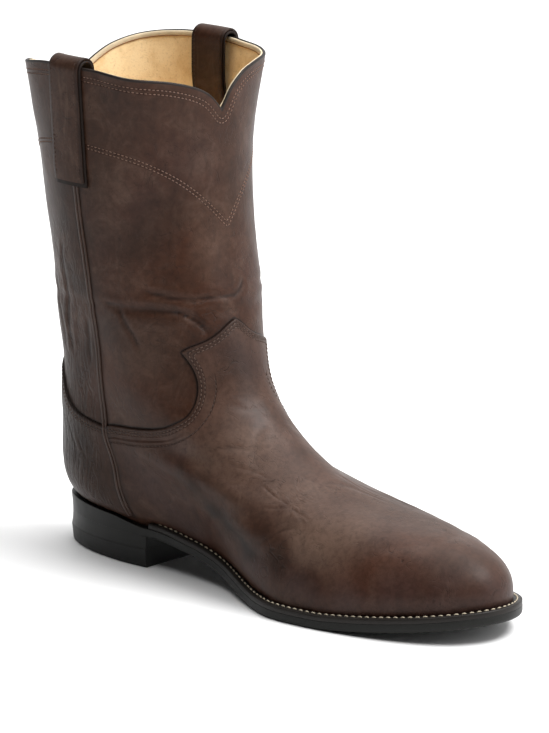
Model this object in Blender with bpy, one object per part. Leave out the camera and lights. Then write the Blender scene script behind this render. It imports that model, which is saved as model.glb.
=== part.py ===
"""Left roper boot: pull-on leather boot with a low heel, a stitched welt and two pull straps.

Sizes are worked out in millimetres in the boot's own axes:
  x  across the boot, + = wearer's left (the outer side of a left boot)
  a  forward from the back of the heel, z up from the floor
and placed with the toe toward -Y.
"""
import math

import bmesh
import bpy
import numpy as np

MM = 0.001

# ---- driving sizes (mm) ---------------------------------------------------
SOLE_BACK, SOLE_FRONT = 5.2, 305.0      # outsole from heel back to toe tip
SOLE_CENTRE_X = 5.0                     # axis of the sole
HEEL_HEIGHT = 16.4                      # floor to underside of the outsole at the heel
TOE_SPRING = 10.1                       # underside of the outsole at the toe tip
EDGE_THICK = 7.5                        # outsole and welt together
SEAT_RISE = 1.8                         # the seat climbs this much toward the back
WELT_THICK = 2.6
BREAST = 82.9                           # front face of the heel
LIFT_BACK, LIFT_FRONT = 8.3, 9.9        # top lift thickness at back and breast
HEEL_WAIST = 2.0                        # hollow of the heel sides
GAP = 0.3                               # clearance between pieces
WALL = 2.2                              # leather and lining
INSOLE_THICK = 3.2
STRAP_WIDTH, STRAP_THICK = 22.5, 2.6
STRAP_CENTRE = 52.0                     # along the boot
STRAP_FOOT, STRAP_TAIL = 202.0, 196.0   # lower ends outside and inside
STRAP_SLACK = 5.0                       # finger room behind the strap at the collar

# outsole outline: share of the length, half widths (divided by the ellipse) inside / outside
SOLE_COLUMNS = ("share", "inner", "outer")
SOLE_TABLE = (
    (0.015, 56.0, 56.0),
    (0.040, 52.0, 53.0),
    (0.100, 47.5, 49.8),
    (0.200, 41.5, 46.0),
    (0.310, 34.6, 41.9),
    (0.420, 33.6, 40.8),
    (0.540, 46.0, 44.3),
    (0.640, 57.6, 50.4),
    (0.740, 59.6, 56.7),
    (0.840, 60.6, 62.0),
    (0.920, 62.6, 64.2),
    (0.975, 65.0, 65.0),
)
# underside of the outsole: distance forward, height
UNDER_COLUMNS = ("a", "height")
UNDER_TABLE = (
    (-20.0, HEEL_HEIGHT), (0.0, HEEL_HEIGHT), (84.0, HEEL_HEIGHT), (115.0, HEEL_HEIGHT * 0.79),
    (150.0, HEEL_HEIGHT * 0.32), (180.0, 0.45), (196.0, 0.0), (220.0, 0.0), (240.0, 1.4),
    (270.0, TOE_SPRING * 0.48), (305.0, TOE_SPRING), (320.0, TOE_SPRING * 1.2),
)
# the upper stands in from the sole edge by
FEATHER_TABLE = ((0.0, 1.6), (0.18, 1.6), (0.30, 4.0), (0.50, 5.2), (0.66, 5.6), (0.85, 5.6), (1.0, 5.6))
# rings of the lasted foot: back a,z  front a,z  centre x, half widths inside / outside at heel, waist, ball, toe
FOOT_COLUMNS = ("ab", "zb", "af", "zf", "xo", "ih", "iw", "ib", "it", "oh", "ow", "ob", "ot")
FOOT_TABLE = (
    (3.1, 33.2, 301.6, 25.4, 3.2, 51.5, 27.3, 51.0, 53.2, 48.8, 39.8, 48.8, 58.4),
    (1.3, 41.0, 296.4, 34.4, 3.1, 54.5, 30.4, 47.2, 47.6, 48.9, 40.6, 49.0, 54.0),
    (1.1, 48.9, 286.1, 40.8, 2.4, 53.3, 32.4, 44.4, 42.6, 49.3, 42.4, 47.3, 47.4),
    (1.5, 56.8, 267.9, 45.6, 1.9, 51.2, 34.3, 40.3, 39.5, 48.7, 42.6, 44.7, 40.0),
    (2.6, 64.8, 243.7, 48.8, 1.0, 49.1, 36.2, 38.7, 37.1, 47.1, 42.3, 40.4, 32.7),
    (3.9, 72.8, 213.7, 52.6, 0.4, 47.2, 37.9, 37.6, 36.7, 45.8, 41.2, 37.7, 29.6),
    (5.1, 82.0, 185.9, 61.2, 0.0, 46.5, 37.9, 35.8, 37.4, 43.9, 38.9, 36.7, 29.8),
    (6.2, 92.0, 158.1, 76.3, 0.0, 44.9, 38.5, 39.9, 38.7, 42.8, 38.6, 36.7, 30.8),
    (6.9, 102.1, 138.2, 95.4, 0.0, 43.9, 39.6, 42.7, 41.1, 44.2, 40.9, 37.2, 33.6),
    (5.9, 113.2, 130.6, 114.0, 0.5, 45.3, 39.8, 43.9, 43.4, 46.6, 43.2, 40.0, 38.0),
    (4.4, 125.5, 125.6, 131.5, 0.6, 46.8, 41.9, 44.5, 45.8, 47.9, 44.8, 44.0, 42.0),
)
# how much each ring keeps of the arch of the feather line
ARCH_SHARE = (1.0, 0.86, 0.66, 0.48, 0.32, 0.20, 0.10, 0.04, 0.0, 0.0, 0.0, 0.0)
# shaft: back a, height, front a, centre x, half width
SHAFT_COLUMNS = ("ab", "z", "af", "xo", "w")
SHAFT_TABLE = (
    (2.4, 150.0, 120.0, 1.4, 47.4),
    (1.3, 165.0, 115.6, 1.3, 48.5),
    (0.2, 180.0, 112.4, 1.2, 49.7),
    (-1.3, 195.0, 110.6, 1.1, 51.0),
    (-3.6, 210.0, 109.8, 0.8, 52.4),
)
COLLAR_BACK, COLLAR_FRONT, COLLAR_X = -9.6, 109.4, -0.1
COLLAR_WIDTHS = (59.6, 54.8, 57.0, 70.0)
# height of the scalloped collar: degrees round from the back seam, inside, outside
COLLAR_COLUMNS = ("degrees", "inner", "outer")
COLLAR_TABLE = (
    (0, 231.6, 231.6), (8, 240.8, 240.4), (18, 249.0, 248.8), (30, 254.8, 256.4),
    (45, 257.1, 261.2), (60, 259.3, 263.4), (75, 261.2, 264.6), (90, 261.9, 264.8),
    (105, 261.6, 264.4), (120, 260.5, 263.2), (135, 258.8, 261.6), (150, 257.3, 261.0),
    (162, 254.3, 259.0), (172, 249.2, 252.6), (180, 239.4, 239.4),
)
STATIONS = (0.10, 0.38, 0.66, 0.92)

COLUMNS_ROUND = 64


# ---- curves ---------------------------------------------------------------
def curve(xs, ys, at):
    """Smooth curve through (xs, ys) that never overshoots its points."""
    xs = np.asarray(xs, float)
    ys = np.asarray(ys, float)
    at = np.clip(np.asarray(at, float), xs[0], xs[-1])
    flat = ys.ndim == 1
    if flat:
        ys = ys[:, None]
    h = np.diff(xs)[:, None]
    d = np.diff(ys, axis=0) / h
    m = np.zeros_like(ys)
    w1 = 2 * h[1:] + h[:-1]
    w2 = h[1:] + 2 * h[:-1]
    same = d[:-1] * d[1:] > 0
    safe0 = np.where(same, d[:-1], 1.0)
    safe1 = np.where(same, d[1:], 1.0)
    m[1:-1] = np.where(same, (w1 + w2) / (w1 / safe0 + w2 / safe1), 0.0)
    for end, (p, q, hp, hq) in ((0, (d[0], d[1], h[0], h[1])), (-1, (d[-1], d[-2], h[-1], h[-2]))):
        e = ((2 * hp + hq) * p - hp * q) / (hp + hq)
        e = np.where(np.sign(e) != np.sign(p), 0.0, e)
        e = np.where((np.sign(p) != np.sign(q)) & (np.abs(e) > 3 * np.abs(p)), 3 * p, e)
        m[end] = e
    i = np.clip(np.searchsorted(xs, at, side="right") - 1, 0, len(xs) - 2)
    hh = (xs[i + 1] - xs[i])
    t = (at - xs[i]) / hh
    t, hh = t[..., None], hh[..., None]
    r = ((1 + 2 * t) * (1 - t) ** 2 * ys[i] + t * (1 - t) ** 2 * hh * m[i]
         + t * t * (3 - 2 * t) * ys[i + 1] - t * t * (1 - t) * hh * m[i + 1])
    return r[..., 0] if flat else r


def column(table, i):
    return [row[i] for row in table]


def share_of(theta):
    return (1 - np.cos(theta)) / 2


def outline_raw(theta):
    s = share_of(theta)
    sn = np.sin(theta)
    xs = [0.0] + column(SOLE_TABLE, 0) + [1.0]
    inner = column(SOLE_TABLE, 1)
    outer = column(SOLE_TABLE, 2)
    ci = curve(xs, [inner[0]] + inner + [inner[-1]], s)
    co = curve(xs, [outer[0]] + outer + [outer[-1]], s)
    x = np.where(sn >= 0, SOLE_CENTRE_X - np.abs(sn) * ci, SOLE_CENTRE_X + np.abs(sn) * co)
    return x, SOLE_BACK + s * (SOLE_FRONT - SOLE_BACK)


def outline(theta, inset=0.0):
    """Sole outline moved inwards by inset, as x, a."""
    h = 1e-3
    x, a = outline_raw(theta)
    x1, a1 = outline_raw(theta + h)
    x0, a0 = outline_raw(theta - h)
    dx, da = x1 - x0, a1 - a0
    n = np.hypot(dx, da) + 1e-12
    return x + inset * da / n, a - inset * dx / n


def under(a):
    return curve(column(UNDER_TABLE, 0), column(UNDER_TABLE, 1), a)


def edge_top(a):
    """Top of the visible sole edge."""
    return under(a) + EDGE_THICK + np.interp(a, [0, 80], [SEAT_RISE, 0])


def sole_top(a):
    """Top of the outsole: full height at the seat, lower under the welt."""
    return edge_top(a) - (WELT_THICK + GAP) * curve([40, 56, 84, 100], [0, 0, 1, 1], a)


def feather(theta):
    s = share_of(theta)
    return curve(column(FEATHER_TABLE, 0), column(FEATHER_TABLE, 1), s)


def widths(values, s):
    return curve((0.0,) + STATIONS + (1.0,), [values[0]] + list(values) + [values[-1]], s)


def ring(row, theta, sag=0.0):
    s = share_of(theta)
    sn = np.sin(theta)
    ab, zb, af, zf, xo = row[:5]
    x = np.where(sn >= 0, xo - np.abs(sn) * widths(row[5:9], s), xo + np.abs(sn) * widths(row[9:13], s))
    return np.stack([x, ab + s * (af - ab), zb + s * (zf - zb) + sag], axis=1)


def collar(theta):
    s = share_of(theta)
    sn = np.sin(theta)
    half = np.degrees(np.arccos(np.clip(np.cos(theta), -1, 1)))
    zi = curve(column(COLLAR_TABLE, 0), column(COLLAR_TABLE, 1), half)
    zo = curve(column(COLLAR_TABLE, 0), column(COLLAR_TABLE, 2), half)
    c = widths(COLLAR_WIDTHS, s)
    x = COLLAR_X + np.where(sn >= 0, -1.0, 1.0) * np.abs(sn) * c
    a = COLLAR_BACK + s * (COLLAR_FRONT - COLLAR_BACK)
    return np.stack([x, a, np.where(sn >= 0, zi, zo)], axis=1)


def key_rings(theta):
    x, a = outline(theta, feather(theta))
    low = np.stack([x, a, sole_top(a) + GAP + 0.15], axis=1)
    r0 = np.stack([x, a, np.maximum(edge_top(a) + 0.2, low[:, 2] + 1.2)], axis=1)
    s = share_of(theta)
    front = np.argmax(s)
    back = np.argmin(s)
    chord = r0[back, 2] + s * (r0[front, 2] - r0[back, 2])
    sag = r0[:, 2] - chord
    rows = [r0]
    for j, row in enumerate(FOOT_TABLE):
        rows.append(ring(row, theta, sag * ARCH_SHARE[j + 1]))
    for ab, z, af, xo, w in SHAFT_TABLE:
        rows.append(ring((ab, z, af, z, xo) + (w,) * 8, theta))
    return low, np.array(rows)


def upper_rings(theta, foot_steps=2, shaft_steps=1, top_steps=4):
    low, rows = key_rings(theta)
    n_foot = len(FOOT_TABLE)
    t = np.concatenate([np.linspace(0, n_foot, n_foot * foot_steps + 1),
                        np.linspace(n_foot, len(rows) - 1, (len(rows) - 1 - n_foot) * shaft_steps + 1)[1:]])
    body = curve(np.arange(len(rows)), rows.reshape(len(rows), -1), t).reshape(len(t), len(theta), 3)
    rim = collar(theta)
    top = [body[-1] * (1 - k) + rim * k for k in np.linspace(0, 1, top_steps + 1)[1:]]
    return np.concatenate([low[None], body, np.array(top)])


def side_x(outer_side, a, z):
    """Outer surface of the shaft at a place near the side seam."""
    zs = column(SHAFT_TABLE, 1)
    ab, af, xo, w = (curve(zs, column(SHAFT_TABLE, k), min(z, 210.0)) for k in (0, 2, 3, 4))
    sign = 1.0 if outer_side else -1.0
    s = (a - ab) / (af - ab)
    x_low = xo + sign * 2 * math.sqrt(s * (1 - s)) * w
    if z <= 210.0:
        return float(x_low)
    s2 = (a - COLLAR_BACK) / (COLLAR_FRONT - COLLAR_BACK)
    x_top = COLLAR_X + sign * 2 * math.sqrt(s2 * (1 - s2)) * float(widths(COLLAR_WIDTHS, np.array([s2]))[0])
    k = (z - 210.0) / (263.0 - 210.0)
    return float(x_low * (1 - k) + x_top * k)


# ---- mesh helpers ---------------------------------------------------------
def new_object(name, verts, faces, colour, roughness, smooth=True, sharp=35.0):
    v = np.asarray(verts, float) * MM
    pts = [(float(p[0]), float(-p[1]), float(p[2])) for p in v]
    mesh = bpy.data.meshes.new(name)
    mesh.from_pydata(pts, [], faces)
    bm = bmesh.new()
    bm.from_mesh(mesh)
    bmesh.ops.remove_doubles(bm, verts=bm.verts, dist=0.00002)
    bmesh.ops.dissolve_degenerate(bm, edges=bm.edges, dist=0.00001)
    bmesh.ops.triangulate(bm, faces=bm.faces)
    bmesh.ops.recalc_face_normals(bm, faces=bm.faces)
    if bm.calc_volume(signed=True) < 0:
        bmesh.ops.reverse_faces(bm, faces=bm.faces)
    bm.to_mesh(mesh)
    bm.free()
    obj = bpy.data.objects.new(name, mesh)
    bpy.context.collection.objects.link(obj)
    mat = bpy.data.materials.new(name + "_mat")
    mat.use_nodes = True
    bsdf = mat.node_tree.nodes["Principled BSDF"]
    bsdf.inputs["Base Color"].default_value = (*colour, 1.0)
    bsdf.inputs["Roughness"].default_value = roughness
    mat.diffuse_color = (*colour, 1.0)
    mesh.materials.append(mat)
    if smooth:
        for poly in mesh.polygons:
            poly.use_smooth = True
        mesh.set_sharp_from_angle(angle=math.radians(sharp))
    return obj


def strip_faces(base_a, base_b, n, closed=True):
    faces = []
    for i in range(n if closed else n - 1):
        j = (i + 1) % n
        faces.append((base_a + i, base_a + j, base_b + j, base_b + i))
    return faces


def slab(name, rings_list, colour, roughness, bridge):
    """Closed solid through rings, with both ends closed across the boot."""
    n = len(rings_list[0])
    verts = np.concatenate(rings_list)
    faces = []
    for k in range(len(rings_list) - 1):
        faces += strip_faces(k * n, (k + 1) * n, n)
    for base in (0, (len(rings_list) - 1) * n):
        faces += [tuple(base + i for i in f) for f in bridge(n)]
    return new_object(name, verts, faces, colour, roughness)


def across(n):
    """Caps for an outline whose point i faces point n - i."""
    half = n // 2
    faces = [(0, 1, n - 1), (half - 1, half, half + 1)]
    for i in range(1, half - 1):
        faces.append((i, i + 1, n - i - 1, n - i))
    return faces


def fan(n):
    return [(0, i, i + 1) for i in range(1, n - 1)]


def theta_ring(n):
    return np.linspace(0, 2 * math.pi, n + 1)[:-1]


# ---- pieces ---------------------------------------------------------------
def heel_weight(a):
    """1 round the heel, fading to 0 past the breast."""
    return np.interp(a, [0, 45, 84, 96], [1.0, 0.85, 0.45, 0.0])


def heel_inset(z, a):
    """Hollow side of the heel block."""
    return HEEL_WAIST * curve([-1, 0, 8, 12, 17, 21, 24, 27], [0.35, 0.3, 0.12, 0.75, 1.0, 0.62, 0.1, 0.0], z) * heel_weight(a)


def outline_at(theta, z_of_a, inset=0.0):
    x, a = outline(theta)
    for _ in range(2):
        z = z_of_a(a)
        ins = inset + heel_inset(z, a)
        x, a = outline(theta, ins)
    return np.stack([x, a, z_of_a(a)], axis=1)


def build_outsole():
    theta = theta_ring(COLUMNS_ROUND)
    low = outline_at(theta, lambda a: under(a), 1.0)
    rings_list = [low,
                  outline_at(theta, lambda a: under(a) + 0.8),
                  outline_at(theta, lambda a: under(a) * 0.5 + sole_top(a) * 0.5),
                  outline_at(theta, lambda a: sole_top(a) - 0.5),
                  outline_at(theta, lambda a: sole_top(a), 0.5)]
    return slab("outsole", rings_list, (0.018, 0.017, 0.017), 0.5, across)


def build_welt():
    s0 = (84.6 - SOLE_BACK) / (SOLE_FRONT - SOLE_BACK)
    t0 = math.acos(1 - 2 * s0)
    grid = theta_ring(COLUMNS_ROUND)
    grid = grid[(grid > t0 + 0.02) & (grid < 2 * math.pi - t0 - 0.02)]
    theta = np.concatenate([[t0], grid, [2 * math.pi - t0]])
    f = feather(theta) - GAP - 0.1
    x0, a0 = outline(theta, 0.15)
    x1, a1 = outline(theta, 0.6)
    xi, ai = outline(theta, f)
    zb = lambda a: sole_top(a) + GAP
    zt = lambda a: edge_top(a)
    loops = [np.stack([x0, a0, zb(a0)], 1), np.stack([x0, a0, zt(a0) - 0.5], 1),
             np.stack([x1, a1, zt(a1)], 1), np.stack([xi, ai, zt(ai)], 1), np.stack([xi, ai, zb(ai)], 1)]
    n, m = len(theta), len(loops)
    verts = np.concatenate(loops)
    faces = []
    for k in range(m):
        faces += strip_faces(k * n, ((k + 1) % m) * n, n, closed=False)
    faces.append(tuple(k * n for k in range(m)))
    faces.append(tuple(k * n + n - 1 for k in range(m)))
    return new_object("welt", verts, faces, (0.022, 0.017, 0.014), 0.5)


def lift_line(a):
    return LIFT_BACK + (LIFT_FRONT - LIFT_BACK) * np.clip(a, 0, 90) / 80.0


def heel_ring(z_of_a, inset, taper):
    """Heel outline with a straight breast."""
    s0 = (BREAST - SOLE_BACK) / (SOLE_FRONT - SOLE_BACK)
    t0 = math.acos(1 - 2 * s0)
    theta = np.linspace(-t0, t0, 41)
    pts = outline_at(theta % (2 * math.pi), z_of_a, inset)
    ins = pts[:, 1] <= BREAST
    pts[:, 0] = SOLE_CENTRE_X + (pts[:, 0] - SOLE_CENTRE_X) * (1 - taper / 34.0)
    pts[:, 1] = np.where(ins, pts[:, 1], BREAST)
    pts[:, 1] += taper * 1.6 * np.clip(1 - pts[:, 1] / BREAST, 0, 1)
    pts[0, 1] = pts[-1, 1] = BREAST
    k = np.linspace(0, 1, 9)[1:-1]
    bow = 2.2 * (1 - (2 * k - 1) ** 2)
    line = np.stack([pts[-1, 0] * (1 - k) + pts[0, 0] * k, BREAST - bow, np.zeros(len(k))], axis=1)
    allp = np.concatenate([pts, line])
    allp[:, 2] = z_of_a(allp[:, 1])
    return allp


def centre_fan(name, rings_list, colour, roughness):
    n = len(rings_list[0])
    verts = list(np.concatenate(rings_list))
    faces = []
    for k in range(len(rings_list) - 1):
        faces += strip_faces(k * n, (k + 1) * n, n)
    for base, r in ((0, rings_list[0]), ((len(rings_list) - 1) * n, rings_list[-1])):
        c = np.array([SOLE_CENTRE_X, 44.0, 0.0])
        # the ends are flat, so the middle point lies on the same plane
        A = np.c_[r[:, 1], np.ones(len(r))]
        k, b = np.linalg.lstsq(A, r[:, 2], rcond=None)[0]
        c[2] = k * c[1] + b
        verts.append(c)
        ci = len(verts) - 1
        faces += [(base + i, base + (i + 1) % n, ci) for i in range(n)]
    return new_object(name, verts, faces, colour, roughness)


def build_heel_base():
    top = lambda a: np.full(np.shape(a), HEEL_HEIGHT - GAP)
    low = lambda a: lift_line(a) + GAP
    mid = lambda k: (lambda a: low(a) * (1 - k) + top(a) * k)
    return centre_fan("heel_base", [heel_ring(low, 0.25, 0.2), heel_ring(mid(0.3), 0.2, 0.2), heel_ring(mid(0.65), 0.15, 0.1),
                                    heel_ring(top, 0.1, 0.0)], (0.020, 0.018, 0.017), 0.5)


def build_top_lift():
    top = lambda a: lift_line(a)
    flat = lambda a: np.zeros(np.shape(a))
    return centre_fan("top_lift", [heel_ring(flat, 0.8, 1.0), heel_ring(lambda a: np.full(np.shape(a), 0.7), 0.1, 0.9),
                                   heel_ring(lambda a: top(a) - 0.5, 0.0, 0.2), heel_ring(top, 0.4, 0.2)],
                      (0.014, 0.014, 0.014), 0.55)


def build_insole():
    theta = theta_ring(COLUMNS_ROUND)
    f = feather(theta) + WALL + 0.5
    r = []
    for extra, up in ((0.0, GAP + 0.1), (0.0, INSOLE_THICK - 0.6), (0.7, INSOLE_THICK)):
        x, a = outline(theta, f + extra)
        r.append(np.stack([x, a, sole_top(a) + up], axis=1))
    return slab("insole", r, (0.42, 0.29, 0.16), 0.85, across)


def build_upper():
    theta = theta_ring(COLUMNS_ROUND)
    closed = np.linspace(0, 2 * math.pi, COLUMNS_ROUND + 1)
    outer = upper_rings(closed)[:, :-1]
    rows, n = outer.shape[:2]
    du = (np.roll(outer, -1, axis=1) - np.roll(outer, 1, axis=1))
    dv = np.gradient(outer, axis=0)
    nrm = np.cross(du, dv)
    nrm /= np.linalg.norm(nrm, axis=2, keepdims=True) + 1e-12
    mid = outer.mean(axis=1, keepdims=True)
    if ((outer - mid) * nrm).sum() < 0:
        nrm = -nrm
    flat = nrm.copy()
    flat[..., 2] = 0
    flat /= np.linalg.norm(flat, axis=2, keepdims=True) + 1e-12
    inner = outer - nrm * WALL
    for j in (0, 1, rows - 1):
        inner[j] = outer[j] - flat[j] * WALL
    inner[1, :, 2] = outer[1, :, 2]
    verts = np.concatenate([outer.reshape(-1, 3), inner.reshape(-1, 3)])
    off = rows * n
    faces = []
    for j in range(rows - 1):
        faces += strip_faces(j * n, (j + 1) * n, n)
        faces += strip_faces(off + j * n, off + (j + 1) * n, n)
    faces += strip_faces(0, off, n)
    faces += strip_faces((rows - 1) * n, off + (rows - 1) * n, n)
    return new_object("upper", verts, faces, (0.050, 0.022, 0.013), 0.42, sharp=50.0)


def build_strap(name, outer_side):
    sign = 1.0 if outer_side else -1.0
    rim = 264.8 if outer_side else 261.9
    t = STRAP_THICK
    e_out = 0.4 + t / 2
    e_in = -(WALL + STRAP_SLACK + t / 2)
    rad = (e_out - e_in) / 2
    arc_z = rim - 1.0
    path = []
    for z in np.linspace(STRAP_FOOT, arc_z, 8)[:-1]:
        path.append((e_out, float(z), 0.0, 1.0))
    for k in np.linspace(0, math.pi, 11):
        path.append(((e_out + e_in) / 2 + rad * math.cos(k), arc_z + rad * math.sin(k), -math.sin(k), math.cos(k)))
    close = -(WALL + 0.4 + t / 2)
    down = np.linspace(0, 1, 9)[1:]
    for k in down:
        z = arc_z + (STRAP_TAIL - arc_z) * k
        e = e_in + (close - e_in) * float(curve([0, 0.25, 0.6, 1.0], [0, 0.18, 0.95, 1.0], k))
        path.append((e, float(z), 0.0, -1.0))
    # directions from neighbours for even thickness
    p = np.array([(q[0], q[1]) for q in path])
    d = np.gradient(p, axis=0)
    d /= np.linalg.norm(d, axis=1, keepdims=True)
    nn = np.stack([d[:, 1], -d[:, 0]], axis=1)
    across_a = np.linspace(-STRAP_WIDTH / 2, STRAP_WIDTH / 2, 5)
    verts = []
    for (e, z), nv in zip(p, nn):
        zc = min(z, rim)
        row_out, row_in = [], []
        for da in across_a:
            a = STRAP_CENTRE + da
            xs = side_x(outer_side, a, zc)
            for store, off in ((row_out, t / 2), (row_in, -t / 2)):
                ee, zz = e + nv[0] * off, z + nv[1] * off
                store.append((xs + sign * ee, a, zz))
        verts += row_out + row_in[::-1]
    m = 2 * len(across_a)
    faces = []
    for i in range(len(p) - 1):
        faces += strip_faces(i * m, (i + 1) * m, m)
    w = len(across_a)
    for base in (0, (len(p) - 1) * m):
        for j in range(w - 1):
            faces.append((base + j, base + j + 1, base + m - 2 - j, base + m - 1 - j))
    return new_object(name, verts, faces, (0.048, 0.022, 0.014), 0.45)


def build():
    for obj in list(bpy.data.objects):
        bpy.data.objects.remove(obj, do_unlink=True)
    parts = [build_outsole(), build_welt(), build_heel_base(), build_top_lift(), build_insole(), build_upper(),
             build_strap("pull_strap_inner", False), build_strap("pull_strap_outer", True)]
    lo = np.array([1e9] * 3)
    hi = -lo
    for obj in parts:
        for v in obj.data.vertices:
            lo = np.minimum(lo, v.co)
            hi = np.maximum(hi, v.co)
    shift = np.array([-(lo[0] + hi[0]) / 2, -(lo[1] + hi[1]) / 2, -lo[2]])
    for obj in parts:
        for v in obj.data.vertices:
            v.co = (v.co[0] + shift[0], v.co[1] + shift[1], v.co[2] + shift[2])
        obj.data.update()


build()
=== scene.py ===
import math

import bpy
import numpy as np
from mathutils import Matrix, Vector
from mathutils.kdtree import KDTree

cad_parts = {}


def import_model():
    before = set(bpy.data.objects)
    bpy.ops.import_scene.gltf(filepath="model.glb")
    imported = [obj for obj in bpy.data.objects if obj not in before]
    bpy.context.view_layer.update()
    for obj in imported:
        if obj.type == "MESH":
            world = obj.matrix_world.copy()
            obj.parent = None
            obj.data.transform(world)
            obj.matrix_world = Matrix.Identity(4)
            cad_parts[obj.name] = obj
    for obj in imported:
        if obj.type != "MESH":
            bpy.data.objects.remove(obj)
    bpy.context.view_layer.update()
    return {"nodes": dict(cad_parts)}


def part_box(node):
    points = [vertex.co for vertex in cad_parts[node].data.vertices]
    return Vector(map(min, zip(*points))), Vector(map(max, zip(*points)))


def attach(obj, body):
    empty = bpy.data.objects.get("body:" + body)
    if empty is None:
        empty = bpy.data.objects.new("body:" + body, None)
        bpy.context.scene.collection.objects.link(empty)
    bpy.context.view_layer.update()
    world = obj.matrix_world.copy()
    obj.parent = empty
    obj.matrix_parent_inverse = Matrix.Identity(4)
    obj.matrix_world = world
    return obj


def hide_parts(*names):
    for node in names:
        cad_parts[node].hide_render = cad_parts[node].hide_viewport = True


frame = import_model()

# Looks of a left roper boot. All sizes are in millimetres in the boot's own axes:
# x across (+ outer side), a forward from the heel back, z up from the floor.

# ---------------------------------------------------------------- shape of the boot
SOLE_BACK, SOLE_FRONT = 5.2, 305.0
SOLE_CENTRE_X = 5.0
HEEL_HEIGHT = 16.4
TOE_SPRING = 10.1
EDGE_THICK = 7.5
SEAT_RISE = 1.8
WELT_THICK = 2.6
BREAST = 82.9
LIFT_BACK, LIFT_FRONT = 8.3, 9.9
HEEL_WAIST = 0.8
GAP = 0.3
WALL = 2.2
STRAP_WIDTH, STRAP_THICK = 22.5, 2.6
STRAP_CENTRE = 52.0
STRAP_FOOT, STRAP_TAIL = 202.0, 196.0
STRAP_SLACK = 5.0

SOLE_TABLE = (
    (0.015, 56.0, 56.0), (0.040, 52.0, 53.0), (0.100, 47.5, 49.8), (0.200, 41.5, 46.0),
    (0.310, 34.6, 41.9), (0.420, 33.6, 40.8), (0.540, 46.0, 44.3), (0.640, 57.6, 50.4),
    (0.740, 59.6, 56.7), (0.840, 60.6, 62.0), (0.920, 62.6, 64.2), (0.975, 65.0, 65.0),
)
UNDER_TABLE = (
    (-20.0, HEEL_HEIGHT), (0.0, HEEL_HEIGHT), (84.0, HEEL_HEIGHT), (115.0, HEEL_HEIGHT * 0.79),
    (150.0, HEEL_HEIGHT * 0.32), (180.0, 0.45), (196.0, 0.0), (220.0, 0.0), (240.0, 1.4),
    (270.0, TOE_SPRING * 0.48), (305.0, TOE_SPRING), (320.0, TOE_SPRING * 1.2),
)
FEATHER_TABLE = ((0.0, 1.6), (0.18, 1.6), (0.30, 4.0), (0.50, 5.2), (0.66, 5.6), (0.85, 5.6), (1.0, 5.6))
FOOT_TABLE = (
    (3.1, 33.2, 301.6, 25.4, 3.2, 51.5, 27.3, 51.0, 53.2, 48.8, 39.8, 48.8, 58.4),
    (1.3, 41.0, 296.4, 34.4, 3.1, 54.5, 30.4, 47.2, 47.6, 48.9, 40.6, 49.0, 54.0),
    (1.1, 48.9, 286.1, 40.8, 2.4, 53.3, 32.4, 44.4, 42.6, 49.3, 42.4, 47.3, 47.4),
    (1.5, 56.8, 267.9, 45.6, 1.9, 51.2, 34.3, 40.3, 39.5, 48.7, 42.6, 44.7, 40.0),
    (2.6, 64.8, 243.7, 48.8, 1.0, 49.1, 36.2, 38.7, 37.1, 47.1, 42.3, 40.4, 32.7),
    (3.9, 72.8, 213.7, 52.6, 0.4, 47.2, 37.9, 37.6, 36.7, 45.8, 41.2, 37.7, 29.6),
    (5.1, 82.0, 185.9, 61.2, 0.0, 46.5, 37.9, 35.8, 37.4, 43.9, 38.9, 36.7, 29.8),
    (6.2, 92.0, 158.1, 76.3, 0.0, 44.9, 38.5, 39.9, 38.7, 42.8, 38.6, 36.7, 30.8),
    (6.9, 102.1, 138.2, 95.4, 0.0, 43.9, 39.6, 42.7, 41.1, 44.2, 40.9, 37.2, 33.6),
    (5.9, 113.2, 130.6, 114.0, 0.5, 45.3, 39.8, 43.9, 43.4, 46.6, 43.2, 40.0, 38.0),
    (4.4, 125.5, 125.6, 131.5, 0.6, 46.8, 41.9, 44.5, 45.8, 47.9, 44.8, 44.0, 42.0),
)
ARCH_SHARE = (1.0, 0.86, 0.66, 0.48, 0.32, 0.20, 0.10, 0.04, 0.0, 0.0, 0.0, 0.0)
SHAFT_TABLE = (
    (2.4, 150.0, 120.0, 1.4, 47.4), (1.3, 165.0, 115.6, 1.3, 48.5), (0.2, 180.0, 112.4, 1.2, 49.7),
    (-1.3, 195.0, 110.6, 1.1, 51.0), (-3.6, 210.0, 109.8, 0.8, 52.4),
)
COLLAR_BACK, COLLAR_FRONT, COLLAR_X = -9.6, 109.4, -0.1
COLLAR_WIDTHS = (59.6, 54.8, 57.0, 70.0)
COLLAR_TABLE = (
    (0, 231.6, 231.6), (8, 240.8, 240.4), (18, 249.0, 248.8), (30, 254.8, 256.4),
    (45, 257.1, 261.2), (60, 259.3, 263.4), (75, 261.2, 264.6), (90, 261.9, 264.8),
    (105, 261.6, 264.4), (120, 260.5, 263.2), (135, 258.8, 261.6), (150, 257.3, 261.0),
    (162, 254.3, 259.0), (172, 249.2, 252.6), (180, 239.4, 239.4),
)
STATIONS = (0.10, 0.38, 0.66, 0.92)
TAU = 2 * math.pi


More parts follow.
